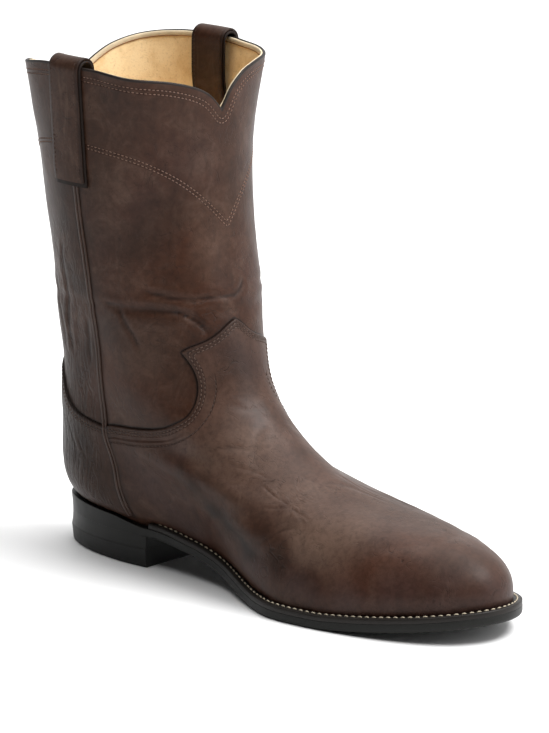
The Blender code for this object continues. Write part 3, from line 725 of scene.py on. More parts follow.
class Mat:
    """Small helper that writes a procedural material."""

    def __init__(self, name):
        self.m = bpy.data.materials.new(name)
        self.m.use_nodes = True
        self.t = self.m.node_tree
        self.b = self.t.nodes["Principled BSDF"]
        self.coord = self.t.nodes.new("ShaderNodeTexCoord").outputs["Object"]

    def put(self, where, value):
        sock = where if not isinstance(where, str) else socket(self.b, where)
        if isinstance(value, bpy.types.NodeSocket):
            self.t.links.new(value, sock)
        else:
            sock.default_value = value
        return self

    def noise(self, scale, detail=4.0, rough=0.55, distort=0.0, vector=None, kind=None):
        n = self.t.nodes.new("ShaderNodeTexNoise")
        n.inputs["Scale"].default_value = scale
        n.inputs["Detail"].default_value = detail
        n.inputs["Roughness"].default_value = rough
        n.inputs["Distortion"].default_value = distort
        if kind:
            n.noise_type = kind
        self.t.links.new(vector or self.coord, n.inputs["Vector"])
        return n.outputs[0]

    def cells(self, scale, feature="DISTANCE_TO_EDGE", vector=None):
        n = self.t.nodes.new("ShaderNodeTexVoronoi")
        n.feature = feature
        n.inputs["Scale"].default_value = scale
        self.t.links.new(vector or self.coord, n.inputs["Vector"])
        return n.outputs["Distance"]

    def warp(self, amount):
        """Object coordinates pushed about by a coarse noise, for wandering lines."""
        n = self.t.nodes.new("ShaderNodeTexNoise")
        n.inputs["Scale"].default_value = 34
        n.inputs["Detail"].default_value = 3.0
        self.t.links.new(self.coord, n.inputs["Vector"])
        k = self.t.nodes.new("ShaderNodeVectorMath")
        k.operation = "MULTIPLY_ADD"
        self.t.links.new(n.outputs[1], k.inputs[0])
        k.inputs[1].default_value = (amount, amount, amount * 1.6)
        self.t.links.new(self.coord, k.inputs[2])
        return k.outputs[0]

    def stretch(self, scale):
        n = self.t.nodes.new("ShaderNodeMapping")
        n.inputs["Scale"].default_value = scale
        self.t.links.new(self.coord, n.inputs["Vector"])
        return n.outputs["Vector"]

    def attr(self, name):
        n = self.t.nodes.new("ShaderNodeAttribute")
        n.attribute_type = "GEOMETRY"
        n.attribute_name = name
        return n.outputs["Fac"]

    def ramp(self, fac, lo, hi, a=0.0, b=1.0, smooth=True):
        n = self.t.nodes.new("ShaderNodeMapRange")
        n.interpolation_type = "SMOOTHSTEP" if smooth else "LINEAR"
        n.clamp = True if not smooth else n.clamp
        for key, val in (("From Min", lo), ("From Max", hi), ("To Min", a), ("To Max", b)):
            n.inputs[key].default_value = val
        self.t.links.new(fac, n.inputs["Value"])
        return n.outputs["Result"]

    def math(self, op, a, b=None):
        n = self.t.nodes.new("ShaderNodeMath")
        n.operation = op
        for k, v in ((0, a), (1, b)):
            if v is None:
                continue
            if isinstance(v, bpy.types.NodeSocket):
                self.t.links.new(v, n.inputs[k])
            else:
                n.inputs[k].default_value = v
        return n.outputs[0]

    def mix(self, fac, a, b, blend="MIX"):
        n = self.t.nodes.new("ShaderNodeMix")
        n.data_type = "RGBA"
        n.blend_type = blend
        for sock, v in ((n.inputs[0], fac), (n.inputs[6], a), (n.inputs[7], b)):
            if isinstance(v, bpy.types.NodeSocket):
                self.t.links.new(v, sock)
            elif isinstance(v, (int, float)):
                sock.default_value = v
            else:
                sock.default_value = (*v, 1.0)
        return n.outputs[2]

    def dot(self, vector, axis):
        n = self.t.nodes.new("ShaderNodeVectorMath")
        n.operation = "DOT_PRODUCT"
        self.t.links.new(vector, n.inputs[0])
        n.inputs[1].default_value = axis
        return n.outputs["Value"]

    def star(self, centre, ax, ay, rays, reach, width):
        """Fine wrinkles that run out from one place of the surface (sizes in metres)."""
        sub = self.t.nodes.new("ShaderNodeVectorMath")
        sub.operation = "SUBTRACT"
        self.t.links.new(self.warp(0.014), sub.inputs[0])
        off = 0.007
        sub.inputs[1].default_value = (centre[0] + off, centre[1] + off, centre[2] + off * 1.6)
        u, v = self.dot(sub.outputs[0], ax), self.dot(sub.outputs[0], ay)
        r = self.math("SQRT", self.math("ADD", self.math("MULTIPLY", u, u), self.math("MULTIPLY", v, v)))
        turn = self.math("MULTIPLY", self.math("ARCTAN2", v, u), rays / TAU)
        off_ray = self.math("ABSOLUTE", self.math("SUBTRACT", self.math("FRACT", turn), 0.5))
        gap = self.math("MULTIPLY", self.math("MULTIPLY", off_ray, TAU / rays), r)
        line = self.ramp(gap, 0.0, width, 1.0, 0.0)
        near = self.ramp(r, 0.0006, 0.0016, 0.4, 1.0)
        return self.math("MULTIPLY", self.math("MULTIPLY", line, near), self.ramp(r, reach * 0.35, reach, 1.0, 0.0))

    def groove(self, dist, centre, half):
        """1 on the line where dist equals centre, falling to 0 at half either side."""
        return self.ramp(self.math("ABSOLUTE", self.math("SUBTRACT", dist, centre)), 0.0, half, 1.0, 0.0)

    def bump(self, *layers):
        """layers: (height socket, strength, distance in metres)"""
        last = None
        for height, strength, dist in layers:
            n = self.t.nodes.new("ShaderNodeBump")
            n.inputs["Strength"].default_value = strength
            n.inputs["Distance"].default_value = dist
            self.t.links.new(height, n.inputs["Height"])
            if last is not None:
                self.t.links.new(last, n.inputs["Normal"])
            last = n.outputs["Normal"]
        self.t.links.new(last, self.b.inputs["Normal"])
        return self


def srgb(r, g, b):
    return tuple(((c / 255 + 0.055) / 1.055) ** 2.4 if c > 10 else c / 255 / 12.92 for c in (r, g, b))


# browns of the leather; the dark and light browns also carry painted shade and painted light, and the cool brown the
# painted floor reflection
BROWN = srgb(57, 37, 27)
BROWN_RED = srgb(57, 33, 22)
BROWN_DARK = srgb(24, 15, 10)
BROWN_COOL = srgb(61, 45, 42)
BROWN_LIGHT = srgb(97, 77, 66)
BROWN_WARM = srgb(84, 47, 31)


def frame_at(deg, z):
    """Place on the surface and two directions along it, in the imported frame."""
    v = locate(deg, z)
    c = world(pick(P, deg, v))
    e1 = unit(world(pick(P, deg, v + 2)) - c)
    e2 = unit(world(pick(P, deg + 2, v)) - c)
    e2 = unit(e2 - (e2 * e1).sum() * e1)
    return tuple(c), tuple(e1), tuple(e2)


def leather(name, rows=True):
    m = Mat(name)
    big = m.noise(17, 4.0, 0.6, 0.5)
    mid = m.noise(58, 5.0, 0.68, 0.9)
    streak = m.noise(1.0, 5.0, 0.65, 0.8, vector=m.stretch((120, 80, 30)))
    fine = m.noise(340, 4.0, 0.65, 0.4)
    base = m.mix(m.ramp(big, 0.34, 0.66), BROWN_RED, BROWN)
    base = m.mix(m.ramp(mid, 0.44, 0.84, 0.0, 0.42), base, BROWN_LIGHT)
    base = m.mix(m.ramp(mid, 0.54, 0.22, 0.0, 0.45), base, BROWN_DARK)
    base = m.mix(m.ramp(streak, 0.52, 0.24, 0.0, 0.36), base, BROWN_DARK)
    height = []
    if rows:
        cool_tint_and_reflection = m.attr("cool_tint_and_reflection")
        tone_light_and_shade = m.attr("tone_light_and_shade")
        base = m.mix(m.ramp(m.attr("warm"), 0.0, 1.0, 0.0, 0.85, False), base, BROWN_WARM)
        base = m.mix(m.ramp(m.attr("front"), 0.0, 1.0, 0.0, 0.34, False), base, srgb(92, 74, 66))
        # cool grey: painted floor reflection low down, a cool tint of the leather higher up
        base = m.mix(m.ramp(cool_tint_and_reflection, 0.0, 1.0, 0.0, 0.9, False), base, BROWN_COOL)
        # the listed light and dark places: painted shade mixed towards dark brown and painted light towards light
        # brown, with some of the burnish's own tone
        base = m.mix(m.ramp(tone_light_and_shade, 0.0, -1.0, 0.0, 0.95, False), base, BROWN_DARK)
        base = m.mix(m.ramp(tone_light_and_shade, 0.0, 1.0, 0.0, 0.9, False), base, BROWN_LIGHT)
        # the stiff heel cover and the back of the shaft have fine upright wrinkles; the colour is darkened in the
        # hollows between them as painted shade
        crink = m.noise(1.0, 4.0, 0.6, 1.6, vector=m.stretch((210, 210, 62)))
        crink = m.math("MULTIPLY", m.ramp(crink, 0.40, 0.56), m.attr("crink"))
        base = m.mix(m.math("MULTIPLY", m.math("SUBTRACT", m.attr("crink"), crink), 0.5), base, BROWN_DARK)
        height.append((crink, 0.55, 0.0011))
        # fine wrinkles running out from three places of the vamp and its side; the colour is darkened along them as
        # painted shade
        stars = m.star(*frame_at(128, 52.2), 7.0, 0.019, 0.00060)
        stars = m.math("MAXIMUM", stars, m.math("MULTIPLY", m.star(*frame_at(226, 50), 7.0, 0.016, 0.00055), 0.8))
        stars = m.math("MAXIMUM", stars, m.math("MULTIPLY", m.star(*frame_at(112, 66), 5.0, 0.014, 0.0005), 0.5))
        base = m.mix(m.math("MULTIPLY", stars, 0.16), base, srgb(38, 27, 22))
        height.append((m.math("MULTIPLY", stars, -1.0), 0.16, 0.0005))
        # painted shade along the creases, darkening the colour
        line = m.ramp(m.attr("line"), 0.05, 1.0, 0.0, 0.75)
        base = m.mix(line, base, srgb(28, 18, 15))
    base = m.mix(m.ramp(fine, 0.38, 0.7, 0.0, 0.30), base, BROWN_DARK)
    speck = m.noise(130, 4.0, 0.7, 0.2)
    base = m.mix(m.ramp(speck, 0.50, 0.78, 0.0, 0.12), base, BROWN_LIGHT)
    base = m.mix(m.ramp(speck, 0.50, 0.25, 0.0, 0.16), base, BROWN_DARK)
    vein = m.noise(95, 3.0, 0.55, 2.6, kind="RIDGED_MULTIFRACTAL")
    drawn = m.noise(52, 2.0, 0.5, 1.6)
    hair = m.groove(drawn, 0.5, 0.012)
    hair = m.math("MULTIPLY", hair, m.ramp(m.noise(38, 2.0, 0.5), 0.50, 0.66))
    hair2 = m.groove(m.noise(96, 2.0, 0.5, 1.2), 0.5, 0.014)
    hair2 = m.math("MULTIPLY", hair2, m.ramp(m.noise(30, 2.0, 0.5), 0.47, 0.62, 0.0, 0.8))
    hair = m.math("MAXIMUM", hair, hair2)
    base = m.mix(m.math("MULTIPLY", hair, 0.5), base, BROWN_DARK)
    if rows:
        loop = m.attr("d_loop")
        vamp = m.attr("d_vamp")
        chev = m.attr("d_chev")
        top = m.attr("d_top")
        seam = m.attr("d_seam")
        # dark dyed edges and the painted shadow line beside them; beside the side seams' cords the leather is darkened
        # as painted shade
        edge = m.math("MAXIMUM", m.groove(loop, -0.45, 1.1), m.groove(seam, 0.0, 5.2))
        base = m.mix(m.math("MULTIPLY", edge, 0.85), base, srgb(24, 16, 13))
        near = m.groove(loop, 1.4, 3.6)
        base = m.mix(m.math("MULTIPLY", near, 0.35), base, BROWN_DARK)
        # the stitch rows lie in sunken grooves; the colour is darkened along them as painted shade under and between
        # the stitches
        rowsum = m.groove(loop, 1.8, 0.65)
        rowsum = m.math("MAXIMUM", rowsum, m.groove(loop, 3.5, 0.65))
        rowsum = m.math("MAXIMUM", rowsum, m.math("MULTIPLY", m.groove(vamp, 8.9, 0.6), m.attr("low")))
        rowsum = m.math("MAXIMUM", rowsum, m.groove(m.math("ABSOLUTE", chev), 0.9, 0.6))
        rowsum = m.math("MAXIMUM", rowsum, m.groove(top, 3.4, 0.6))
        rowsum = m.math("MAXIMUM", rowsum, m.groove(top, 5.6, 0.6))
        base = m.mix(m.math("MULTIPLY", rowsum, 0.55), base, srgb(30, 20, 16))
        height.append((m.math("MULTIPLY", rowsum, -1.0), 0.6, 0.0004))
        # the under layer shows as a soft ridge along the second row at the side
        side = m.math("MULTIPLY", m.groove(vamp, 7.2, 1.6), m.attr("ridge"))
        height.append((side, 0.9, 0.0006))
    else:
        edge = m.ramp(m.math("ABSOLUTE", m.attr("across")), 8.2, 10.8)
        base = m.mix(m.math("MULTIPLY", edge, 0.7), base, srgb(24, 16, 13))
        rub = m.noise(1.0, 3.0, 0.6, 0.5, vector=m.stretch((70, 210, 22)))
        base = m.mix(m.ramp(rub, 0.58, 0.78, 0.0, 0.30), base, BROWN_LIGHT)
    m.put("Base Color", base)
    m.put("Roughness", m.ramp(big, 0.3, 0.7, 0.37, 0.50))
    m.put("Specular IOR Level", 0.12)
    m.put("Coat Weight", 0.05).put("Coat Roughness", 0.30)
    pores = m.cells(1250)
    height += [(m.math("MULTIPLY", hair, -1.0), 0.30, 0.0005), (vein, 0.10, 0.0007), (m.noise(430, 4.0, 0.6, 0.3), 0.20, 0.0003), (pores, 0.12, 0.0002)]
    m.bump(*height)
    return m.m


def suede(name, colour, dark):
    m = Mat(name)
    blot = m.noise(90, 5.0, 0.65, 0.5)
    fine = m.noise(900, 3.0, 0.7)
    base = m.mix(m.ramp(blot, 0.38, 0.68, 0.0, 0.55), colour, dark)
    base = m.mix(m.ramp(fine, 0.5, 0.75, 0.0, 0.35), base, tuple(0.55 * c for c in dark))
    m.put("Base Color", base).put("Roughness", 0.92).put("Specular IOR Level", 0.15)
    m.bump((m.noise(1100, 3.0, 0.7), 0.35, 0.0003), (m.noise(160, 3.0, 0.6), 0.2, 0.0005))
    return m.m


def plain(name, colour, rough, coat=0.0, coat_rough=0.3, grain=600, strength=0.12, vary=0.25, specular=0.5):
    m = Mat(name)
    n = m.noise(grain * 0.25, 4.0, 0.6)
    base = m.mix(m.ramp(n, 0.35, 0.7), tuple(c * (1 - vary) for c in colour), tuple(min(1, c * (1 + vary)) for c in colour))
    m.put("Base Color", base).put("Roughness", m.ramp(n, 0.3, 0.7, rough * 0.9, min(1, rough * 1.1)))
    m.put("Specular IOR Level", specular)
    if coat:
        m.put("Coat Weight", coat).put("Coat Roughness", coat_rough)
    m.bump((m.noise(grain, 3.0, 0.6), strength, 0.0003))
    return m.m


M_LEATHER = leather("leather_brown")
M_STRAP = leather("leather_strap", rows=False)
M_EDGE = plain("leather_edge_dark", srgb(27, 18, 14), 0.6, 0.0, 0.3, 900, 0.15, specular=0.15)
M_LINING = suede("lining_suede", srgb(248, 222, 176), srgb(222, 184, 128))
M_TAPE = plain("collar_tape_cream", srgb(214, 198, 168), 0.75, grain=700, strength=0.2, vary=0.08)
M_BROWN_LINE = plain("lining_stitch_brown", srgb(140, 96, 58), 0.8, grain=900)
M_BINDING = plain("collar_binding_dark", srgb(30, 22, 18), 0.5, 0.0, 0.3, 800, 0.15, specular=0.2)
M_THREAD_SHAFT = plain("thread_shaft", srgb(112, 86, 73), 0.7, grain=1500, strength=0.2, vary=0.12, specular=0.3)
M_THREAD = plain("thread_brown", srgb(80, 61, 52), 0.7, grain=1500, strength=0.2, vary=0.12, specular=0.3)
M_THREAD_DARK = plain("thread_dark", srgb(62, 46, 39), 0.7, grain=1500, strength=0.2, vary=0.12, specular=0.3)
M_THREAD_WELT = plain("thread_cream", srgb(178, 166, 144), 0.7, grain=1500, strength=0.2, vary=0.1)
M_SOLE = plain("sole_black", srgb(25, 25, 23), 0.46, 0.02, 0.3, 420, 0.10, 0.12, specular=0.16)
M_WELT = plain("welt_black", srgb(27, 23, 20), 0.50, 0.03, 0.3, 500, 0.12, 0.15, specular=0.2)
M_HEEL = plain("heel_black", srgb(24, 24, 22), 0.42, 0.02, 0.28, 420, 0.08, 0.1, specular=0.16)
M_LIFT = plain("lift_black", srgb(22, 22, 21), 0.5, 0.02, 0.3, 420, 0.10, 0.1, specular=0.2)
M_CORD = plain("seam_cord_brown", srgb(58, 41, 33), 0.42, 0.06, 0.3, 800, 0.15, 0.15, specular=0.22)

# ---------------------------------------------------------------- leather shell
# columns kept while cutting: base point 0-2, normal 3-5, d_loop 6, d_vamp 7, d_chev 8, d_top 9, d_seam 10, tone with
# painted light and shade 11, cool tint with painted floor reflection 12, ridge 13
rows, nu = P.shape[:2]
flat = P.reshape(-1, 3)
flat_n = N.reshape(-1, 3)
deg = np.degrees(np.broadcast_to(THETA, (rows, nu))).reshape(-1)
zz = flat[:, 2]

d, _ = to_line(flat, LOOP)
poly = np.concatenate([LOOP_Q, [(360.5, LOOP_Q[-1, 1]), (360.5, -60), (-0.5, -60), (-0.5, LOOP_Q[0, 1])]])
zone = (zz > 55) & (zz < 145)
is_low = zz <= 55
is_low[zone] = inside(poly, np.stack([deg[zone], zz[zone]], 1))
d_loop = np.clip(np.where(is_low, d, -d), -12, 30)


def seam_degrees(z, table):
    zs = [q[1] for q in table][::-1]
    return np.interp(z, zs, [q[0] for q in table][::-1])


sin_deg, sout_deg = seam_degrees(zz, SEAM_IN), seam_degrees(zz, SEAM_OUT)
front_part = (deg > sin_deg) & (deg < sout_deg)
d_vamp = np.where(front_part, d_loop, -8.0)
ds_in, _ = to_line(flat, SEAMS["inner"][1])
ds_out, _ = to_line(flat, SEAMS["outer"][1])
d_seam = np.clip(np.minimum(ds_in, ds_out), 0, 12)
dc, _ = to_line(flat, CHEV)
above = zz > np.interp(np.where(deg > 180, 360 - deg, deg), CHEV_Q[:len(CHEV_Q) // 2, 0], CHEV_Q[:len(CHEV_Q) // 2, 1])
dcb, _ = to_line(flat, CHEVB)
half_deg = np.where(deg > 180, 360 - deg, deg)
above_b = zz > np.interp(half_deg, CHEVB_Q[len(CHEVB_Q) // 2:, 0], CHEVB_Q[len(CHEVB_Q) // 2:, 1])
d_chev = np.where(half_deg > 90, np.where(above, dc, -dc), np.where(above_b, dcb, -dcb))
d_chev = np.clip(d_chev, -10, 10)
RIM = P[-1]
dt, _ = to_line(flat, np.concatenate([RIM, RIM[:1]]))
d_top = np.clip(dt, 0, 14)
ridge = np.clip((118 - half_deg) / 14, 0, 1) * (half_deg > 60)

# light and dark places mixed into the leather's colour, listed: (degrees, height), radius, amount; a few are the
# burnish's own tone, most are painted shade (the heel counter, the back and inner side of the shaft, the valley on the
# inner side, the creases, the throat) and painted highlights on the ball and along the vamp
TONE_LIGHT_AND_SHADE_SPOTS = (
    ((168.5, 87.4), 6.5, -0.55), ((73, 177), 9, -0.45), ((66, 152), 8, -0.35), ((80, 205), 7, -0.35), ((116, 37), 8, 0.35), ((124, 41), 8, 0.2),
    ((40, 60), 24, -0.6), ((15, 60), 24, -0.5), ((345, 60), 26, -0.4), ((52, 34), 14, -0.4), ((70, 110), 14, -0.45), ((74, 190), 14, -0.4), ((78, 230), 14, -0.4),
    ((109.5, 44.1), 5.5, -0.55), ((128, 52.2), 3.2, -0.8), ((110, 34), 5, -0.3), ((96.5, 46), 6, -0.3), ((97, 33), 6, -0.4),
    ((120, 42), 11, 0.35), ((124, 35), 13, 0.35), ((165, 118), 14, -0.3), ((160, 108), 12, -0.2),
    ((86, 150), 8, -0.4), ((86, 200), 8, -0.4), ((120, 38), 10, 0.35), ((134, 45), 13, 0.45), ((150, 50), 13, 0.35), ((145, 75), 13, 0.3), ((112, 62), 9, 0.35),
    ((128, 178), 16, -0.35), ((150, 190), 14, -0.25), ((166, 172), 13, 0.25), ((118, 196), 15, 0.20), ((140, 232), 16, -0.15),
    ((120, 160), 14, 0.15), ((112, 112), 14, 0.25), ((100, 92), 12, -0.25), ((95, 130), 10, -0.45), ((88, 175), 9, -0.45),
    ((72, 150), 10, -0.35), ((58, 190), 10, -0.30), ((60, 120), 9, 0.15), ((30, 70), 12, -0.30), ((48, 60), 9, -0.15),
    ((150, 116), 9, 0.18), ((165, 112), 9, -0.10), ((178, 100), 9, -0.20), ((160, 82), 12, 0.35), ((140, 66), 13, 0.30),
    ((150, 56), 13, 0.30), ((172, 60), 12, 0.35), ((97, 62), 7, -0.7), ((92.5, 53), 7, -0.9), ((91.5, 44), 7, -0.95), ((93, 35.5), 7, -0.95), ((98.5, 30), 7, -0.85), ((107, 27.5), 7, -0.7),
    ((114, 24), 7, -0.4), ((111, 68), 12, 0.3), ((106, 53), 10, 0.25),
    ((147, 96), 10, -0.10), ((152, 83), 12, 0.12), ((131, 55), 12, 0.35), ((125, 48), 12, 0.3), ((182, 84), 6, -0.45), ((181, 72), 6, -0.45), ((176, 62), 6, -0.25),
    ((165, 40), 14, -0.25), ((190, 40), 12, -0.2), ((178, 44), 9, 0.25), ((204, 46), 12, -0.2), ((225, 48), 12, -0.3), ((240, 60), 14, -0.25),
    ((215, 70), 12, 0.2), ((255, 50), 14, -0.2), ((270, 40), 14, 0.1), ((250, 110), 14, 0.2), ((235, 160), 18, -0.2), ((260, 190), 18, 0.15),
    ((215, 200), 16, -0.2), ((300, 160), 18, -0.25), ((330, 200), 18, 0.15), ((320, 60), 14, -0.25), ((0, 150), 20, -0.2), ((10, 210), 18, 0.15),
)
# cool purplish grey places: along the lower edges near the sole and low on the sides it is a painted reflection of the
# pale floor; higher up, on the tongue and the shaft, a cool tint of the leather; (degrees, height), radius, amount
COOL_TINT_AND_REFLECTION_SPOTS = (
    ((69, 60), 10, 0.5), ((69, 48), 11, 0.65), ((71, 33), 11, 0.75), ((77, 24), 9, 0.7), ((82, 60), 9, 0.4), ((81, 44), 8, 0.4), ((100, 22), 10, 0.8), ((112, 20), 11, 0.8), ((125, 21), 12, 0.75),
    ((140, 24), 12, 0.65), ((155, 22), 12, 0.6), ((172, 22), 12, 0.55), ((190, 22), 12, 0.55), ((210, 24), 12, 0.6), ((235, 24), 14, 0.6),
    ((165, 118), 11, 0.55), ((178, 112), 10, 0.4), ((105, 70), 9, 0.4), ((150, 48), 12, 0.25), ((260, 26), 16, 0.6), ((285, 34), 14, 0.5),
    ((128, 196), 14, 0.3), ((160, 216), 14, 0.3), ((106, 176), 14, 0.2), ((60, 40), 8, 0.3), ((200, 150), 16, 0.3), ((240, 200), 18, 0.3),
    ((30, 130), 14, 0.3), ((320, 120), 16, 0.3),
)


def painted(spots):
    out = np.zeros(len(flat))
    wob = flat + 5.0 * np.stack([noise(flat, 16, 11), noise(flat, 16, 12), noise(flat, 16, 13)], 1)
    for (dg, z), r, amt in spots:
        dd = np.linalg.norm(wob - point(dg, z), axis=1)
        out += amt * np.exp(-(dd / r) ** 2)
    return out


front = np.clip((d_vamp + 0.3) / 0.6, 0, 1) * np.clip((half_deg - 98) / 16, 0, 1) * np.clip((zz - 27) / 16, 0, 1)
behind = np.clip((seam_degrees(zz, SEAM_IN) - half_deg - 2) / 10, 0, 1)
crink = behind * np.interp(zz, [20, 34, 92, 104, 150, 185], [0.2, 1.0, 1.0, 0.55, 0.45, 0.0])
WARMS = (
    ((84, 108), 11, 0.37), ((98, 98), 11, 0.31), ((76, 92), 9, 0.25), ((126, 31), 11, 0.43), ((140, 38), 12, 0.37), ((156, 42), 12, 0.25),
    ((118, 150), 12, 0.19), ((60, 150), 11, 0.37), ((62, 188), 12, 0.31), ((70, 215), 10, 0.19), ((150, 170), 14, 0.15), ((180, 60), 12, 0.22),
    ((200, 40), 14, 0.31), ((230, 40), 14, 0.31), ((250, 70), 14, 0.19), ((235, 120), 16, 0.22), ((290, 150), 16, 0.25), ((330, 70), 12, 0.19),
    ((178, 34), 14, 0.22), ((140, 225), 14, 0.15),
)
tone_light_and_shade, cool_tint_and_reflection, warm = painted(TONE_LIGHT_AND_SHADE_SPOTS), np.clip(painted(COOL_TINT_AND_REFLECTION_SPOTS), 0, 1), np.clip(painted(WARMS), 0, 1)

attr = np.column_stack([flat, flat_n, d_loop, d_vamp, d_chev, d_top, d_seam, tone_light_and_shade, cool_tint_and_reflection, ridge, CREASE_SHADE, np.clip((110 - zz) / 5, 0, 1), warm, crink, front])
idx = np.arange(rows * nu).reshape(rows, nu)
nxt = np.roll(idx, -1, axis=1)
tris = np.concatenate([np.stack([idx[:-1], nxt[:-1], nxt[1:]], -1).reshape(-1, 3), np.stack([idx[:-1], nxt[1:], idx[1:]], -1).reshape(-1, 3)])
GRID_ATTR, GRID_TRIS = attr.copy(), tris.copy()
for level in (-0.5, -0.05, 0.05, 0.35, 1.0):
    attr, tris = split(attr, tris, 6, level)

LAYER = 1.35
step_up = np.interp(attr[:, 6], [-0.5, -0.05, 0.05, 0.35, 1.0, 12.0, 26.0], [0.0, -0.12, 0.72 * LAYER, 0.94 * LAYER, LAYER, LAYER, 0.9 * LAYER])
low_fade = np.interp(attr[:, 2], [20, 40], [0.55, 1.0])
skin = attr[:, :3] + unit(attr[:, 3:6]) * (step_up * low_fade)[:, None]

# rim: the leather turns in over its own thickness
frame_t = unit(np.roll(RIM, -1, 0) - np.roll(RIM, 1, 0))
rim_n = unit(N[-1] - (N[-1] * frame_t).sum(1, keepdims=True) * frame_t)
rim_b = unit(np.cross(frame_t, rim_n))
rim_b = np.where((rim_b[:, 2:3] < 0), -rim_b, rim_b)
for _ in range(3):
    rim_n = unit(soft_loop(rim_n, 1))
    rim_b = unit(soft_loop(rim_b, 1))
DROP = 0.9


def rim_point(x, y):
    """Points beside the rim: x outwards, y upwards, from the rim's outer corner."""
    return RIM + rim_n * x + rim_b * y


edge_rows = [rim_point(-0.12, 0.0), rim_point(-0.45, 0.22), rim_point(-0.9, 0.2), rim_point(-1.1, -0.2), rim_point(-1.1, -1.6)]
base = len(attr)
last_row = idx[-1]
extra, faces_extra = [], []
prev = last_row
for r, ring_pts in enumerate(edge_rows):
    cur = base + r * nu + np.arange(nu)
    extra.append(ring_pts)
    a, b = prev, np.roll(prev, -1)
    c, d2 = cur, np.roll(cur, -1)
    faces_extra.append(np.stack([a, b, d2], 1))
    faces_extra.append(np.stack([a, d2, c], 1))
    prev = cur
# lower edge: turns in under the foot
low_in = LOW.copy()
low_dir = unit(np.stack([N[0][:, 0], N[0][:, 1], np.zeros(nu)], 1))
start = base + len(edge_rows) * nu
tuck = [LOW + low_dir * 0.1, LOW - low_dir * 1.6]
prev = idx[0]
for r, ring_pts in enumerate(tuck):
    cur = start + r * nu + np.arange(nu)
    extra.append(ring_pts)
    a, b = prev, np.roll(prev, -1)
    c, d2 = cur, np.roll(cur, -1)
    faces_extra.append(np.stack([a, d2, b], 1))
    faces_extra.append(np.stack([a, c, d2], 1))
    prev = cur
n_extra = sum(len(e) for e in extra)
verts = np.concatenate([skin] + extra)
tris_all = np.concatenate([tris] + faces_extra)
pad = lambda col, val: np.concatenate([attr[:, col], np.full(n_extra, val)])
tail = np.concatenate([np.zeros(len(edge_rows) * nu), np.full(len(tuck) * nu, 9.0)])
attrs = {"d_loop": np.concatenate([attr[:, 6], np.where(tail > 0, 12.0, -12.0)]), "d_vamp": pad(7, -8.0), "d_chev": pad(8, 10.0),
         "d_top": np.concatenate([attr[:, 9], tail]), "d_seam": pad(10, 12.0), "tone_light_and_shade": pad(11, -0.3), "cool_tint_and_reflection": pad(12, 0.0),
         "ridge": pad(13, 0.0), "line": pad(14, 0.0), "low": pad(15, 0.0), "warm": pad(16, 0.0), "crink": pad(17, 0.0), "front": pad(18, 0.0)}
# faces outwards: test one
p0, p1, p2 = (verts[tris_all[:, k]] for k in range(3))
fn = np.cross(world(p1) - world(p0), world(p2) - world(p0))
cen = world((p0 + p1 + p2) / 3)
mid = world(P.mean(axis=1))
ref = mid[np.clip(np.searchsorted(mid[:, 2], cen[:, 2]), 0, len(mid) - 1)]
if ((cen[:, :2] - ref[:, :2]) * fn[:, :2]).sum() < 0:
    tris_all = tris_all[:, ::-1]
boot = make("boot_leather", verts, tris_all, M_LEATHER, sharp=48, attrs=attrs)
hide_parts("upper")

# ---------------------------------------------------------------- lining, collar tape and binding
step_r, step_c = 3, 2
li = list(range(0, rows - 1, step_r))
inner_rows = [P[k, ::step_c] - N[k, ::step_c] * WALL for k in li if P[k, :, 2].max() < 238]
inner_rows = [p for p in inner_rows]
for y in (-9.0, -6.0, -4.2, -2.4, 0.2):
    inner_rows.append(rim_point(-WALL, y)[::step_c])
ncol = len(inner_rows[0])
# rows below the rim may cross it at the two dips, so they are held under the rim's own rows
limit = rim_point(-WALL, -10.5)[::step_c, 2]
for p in inner_rows[:-5]:
    over = p[:, 2] > limit
    p[over, 2] = limit[over]
lining_pts = np.concatenate(inner_rows)
lining = make("boot_lining", lining_pts, quads(len(inner_rows), ncol, True, flip=True), M_LINING)


def rim_sweep(name, section, material, step=1, sharp=None):
    """Closed band that follows the collar; section is a loop of (outwards, up) points."""
    loops = [rim_point(x, y)[::step] for x, y in section]
    n = len(loops[0])
    k = len(loops)
    faces = []
    for a in range(k):
        b = (a + 1) % k
        for i in range(n):
            j = (i + 1) % n
            faces.append((a * n + i, a * n + j, b * n + j, b * n + i))
    obj = make(name, np.concatenate(loops), faces, material, sharp=sharp)
    outward(obj)
    return obj


def circle(cx, cy, r, n=10, ry=None):
    return [(cx + r * math.cos(TAU * k / n), cy + (ry or r) * math.sin(TAU * k / n)) for k in range(n)]


rim_sweep("collar_binding", circle(-0.82, 0.28, 0.88, 12, 1.0), M_BINDING)
tape = [(-1.45, 0.35), (-1.75, 0.7), (-2.2, 0.74), (-2.55, 0.45), (-2.66, -0.2), (-2.6, -1.5), (-2.4, -1.8), (-1.9, -1.8), (-1.5, -0.5)]
rim_sweep("collar_tape", tape, M_TAPE, sharp=50)
rim_sweep("collar_tape_stitch", circle(-2.45, -1.95, 0.26, 6), M_BROWN_LINE)

# ---------------------------------------------------------------- stitches
_tree = KDTree(len(flat))
for _i, _c in enumerate(flat):
    _tree.insert(_c, _i)
_tree.balance()


def normals_at(pts):
    return unit(np.array([flat_n[_tree.find(c)[1]] for c in pts]))


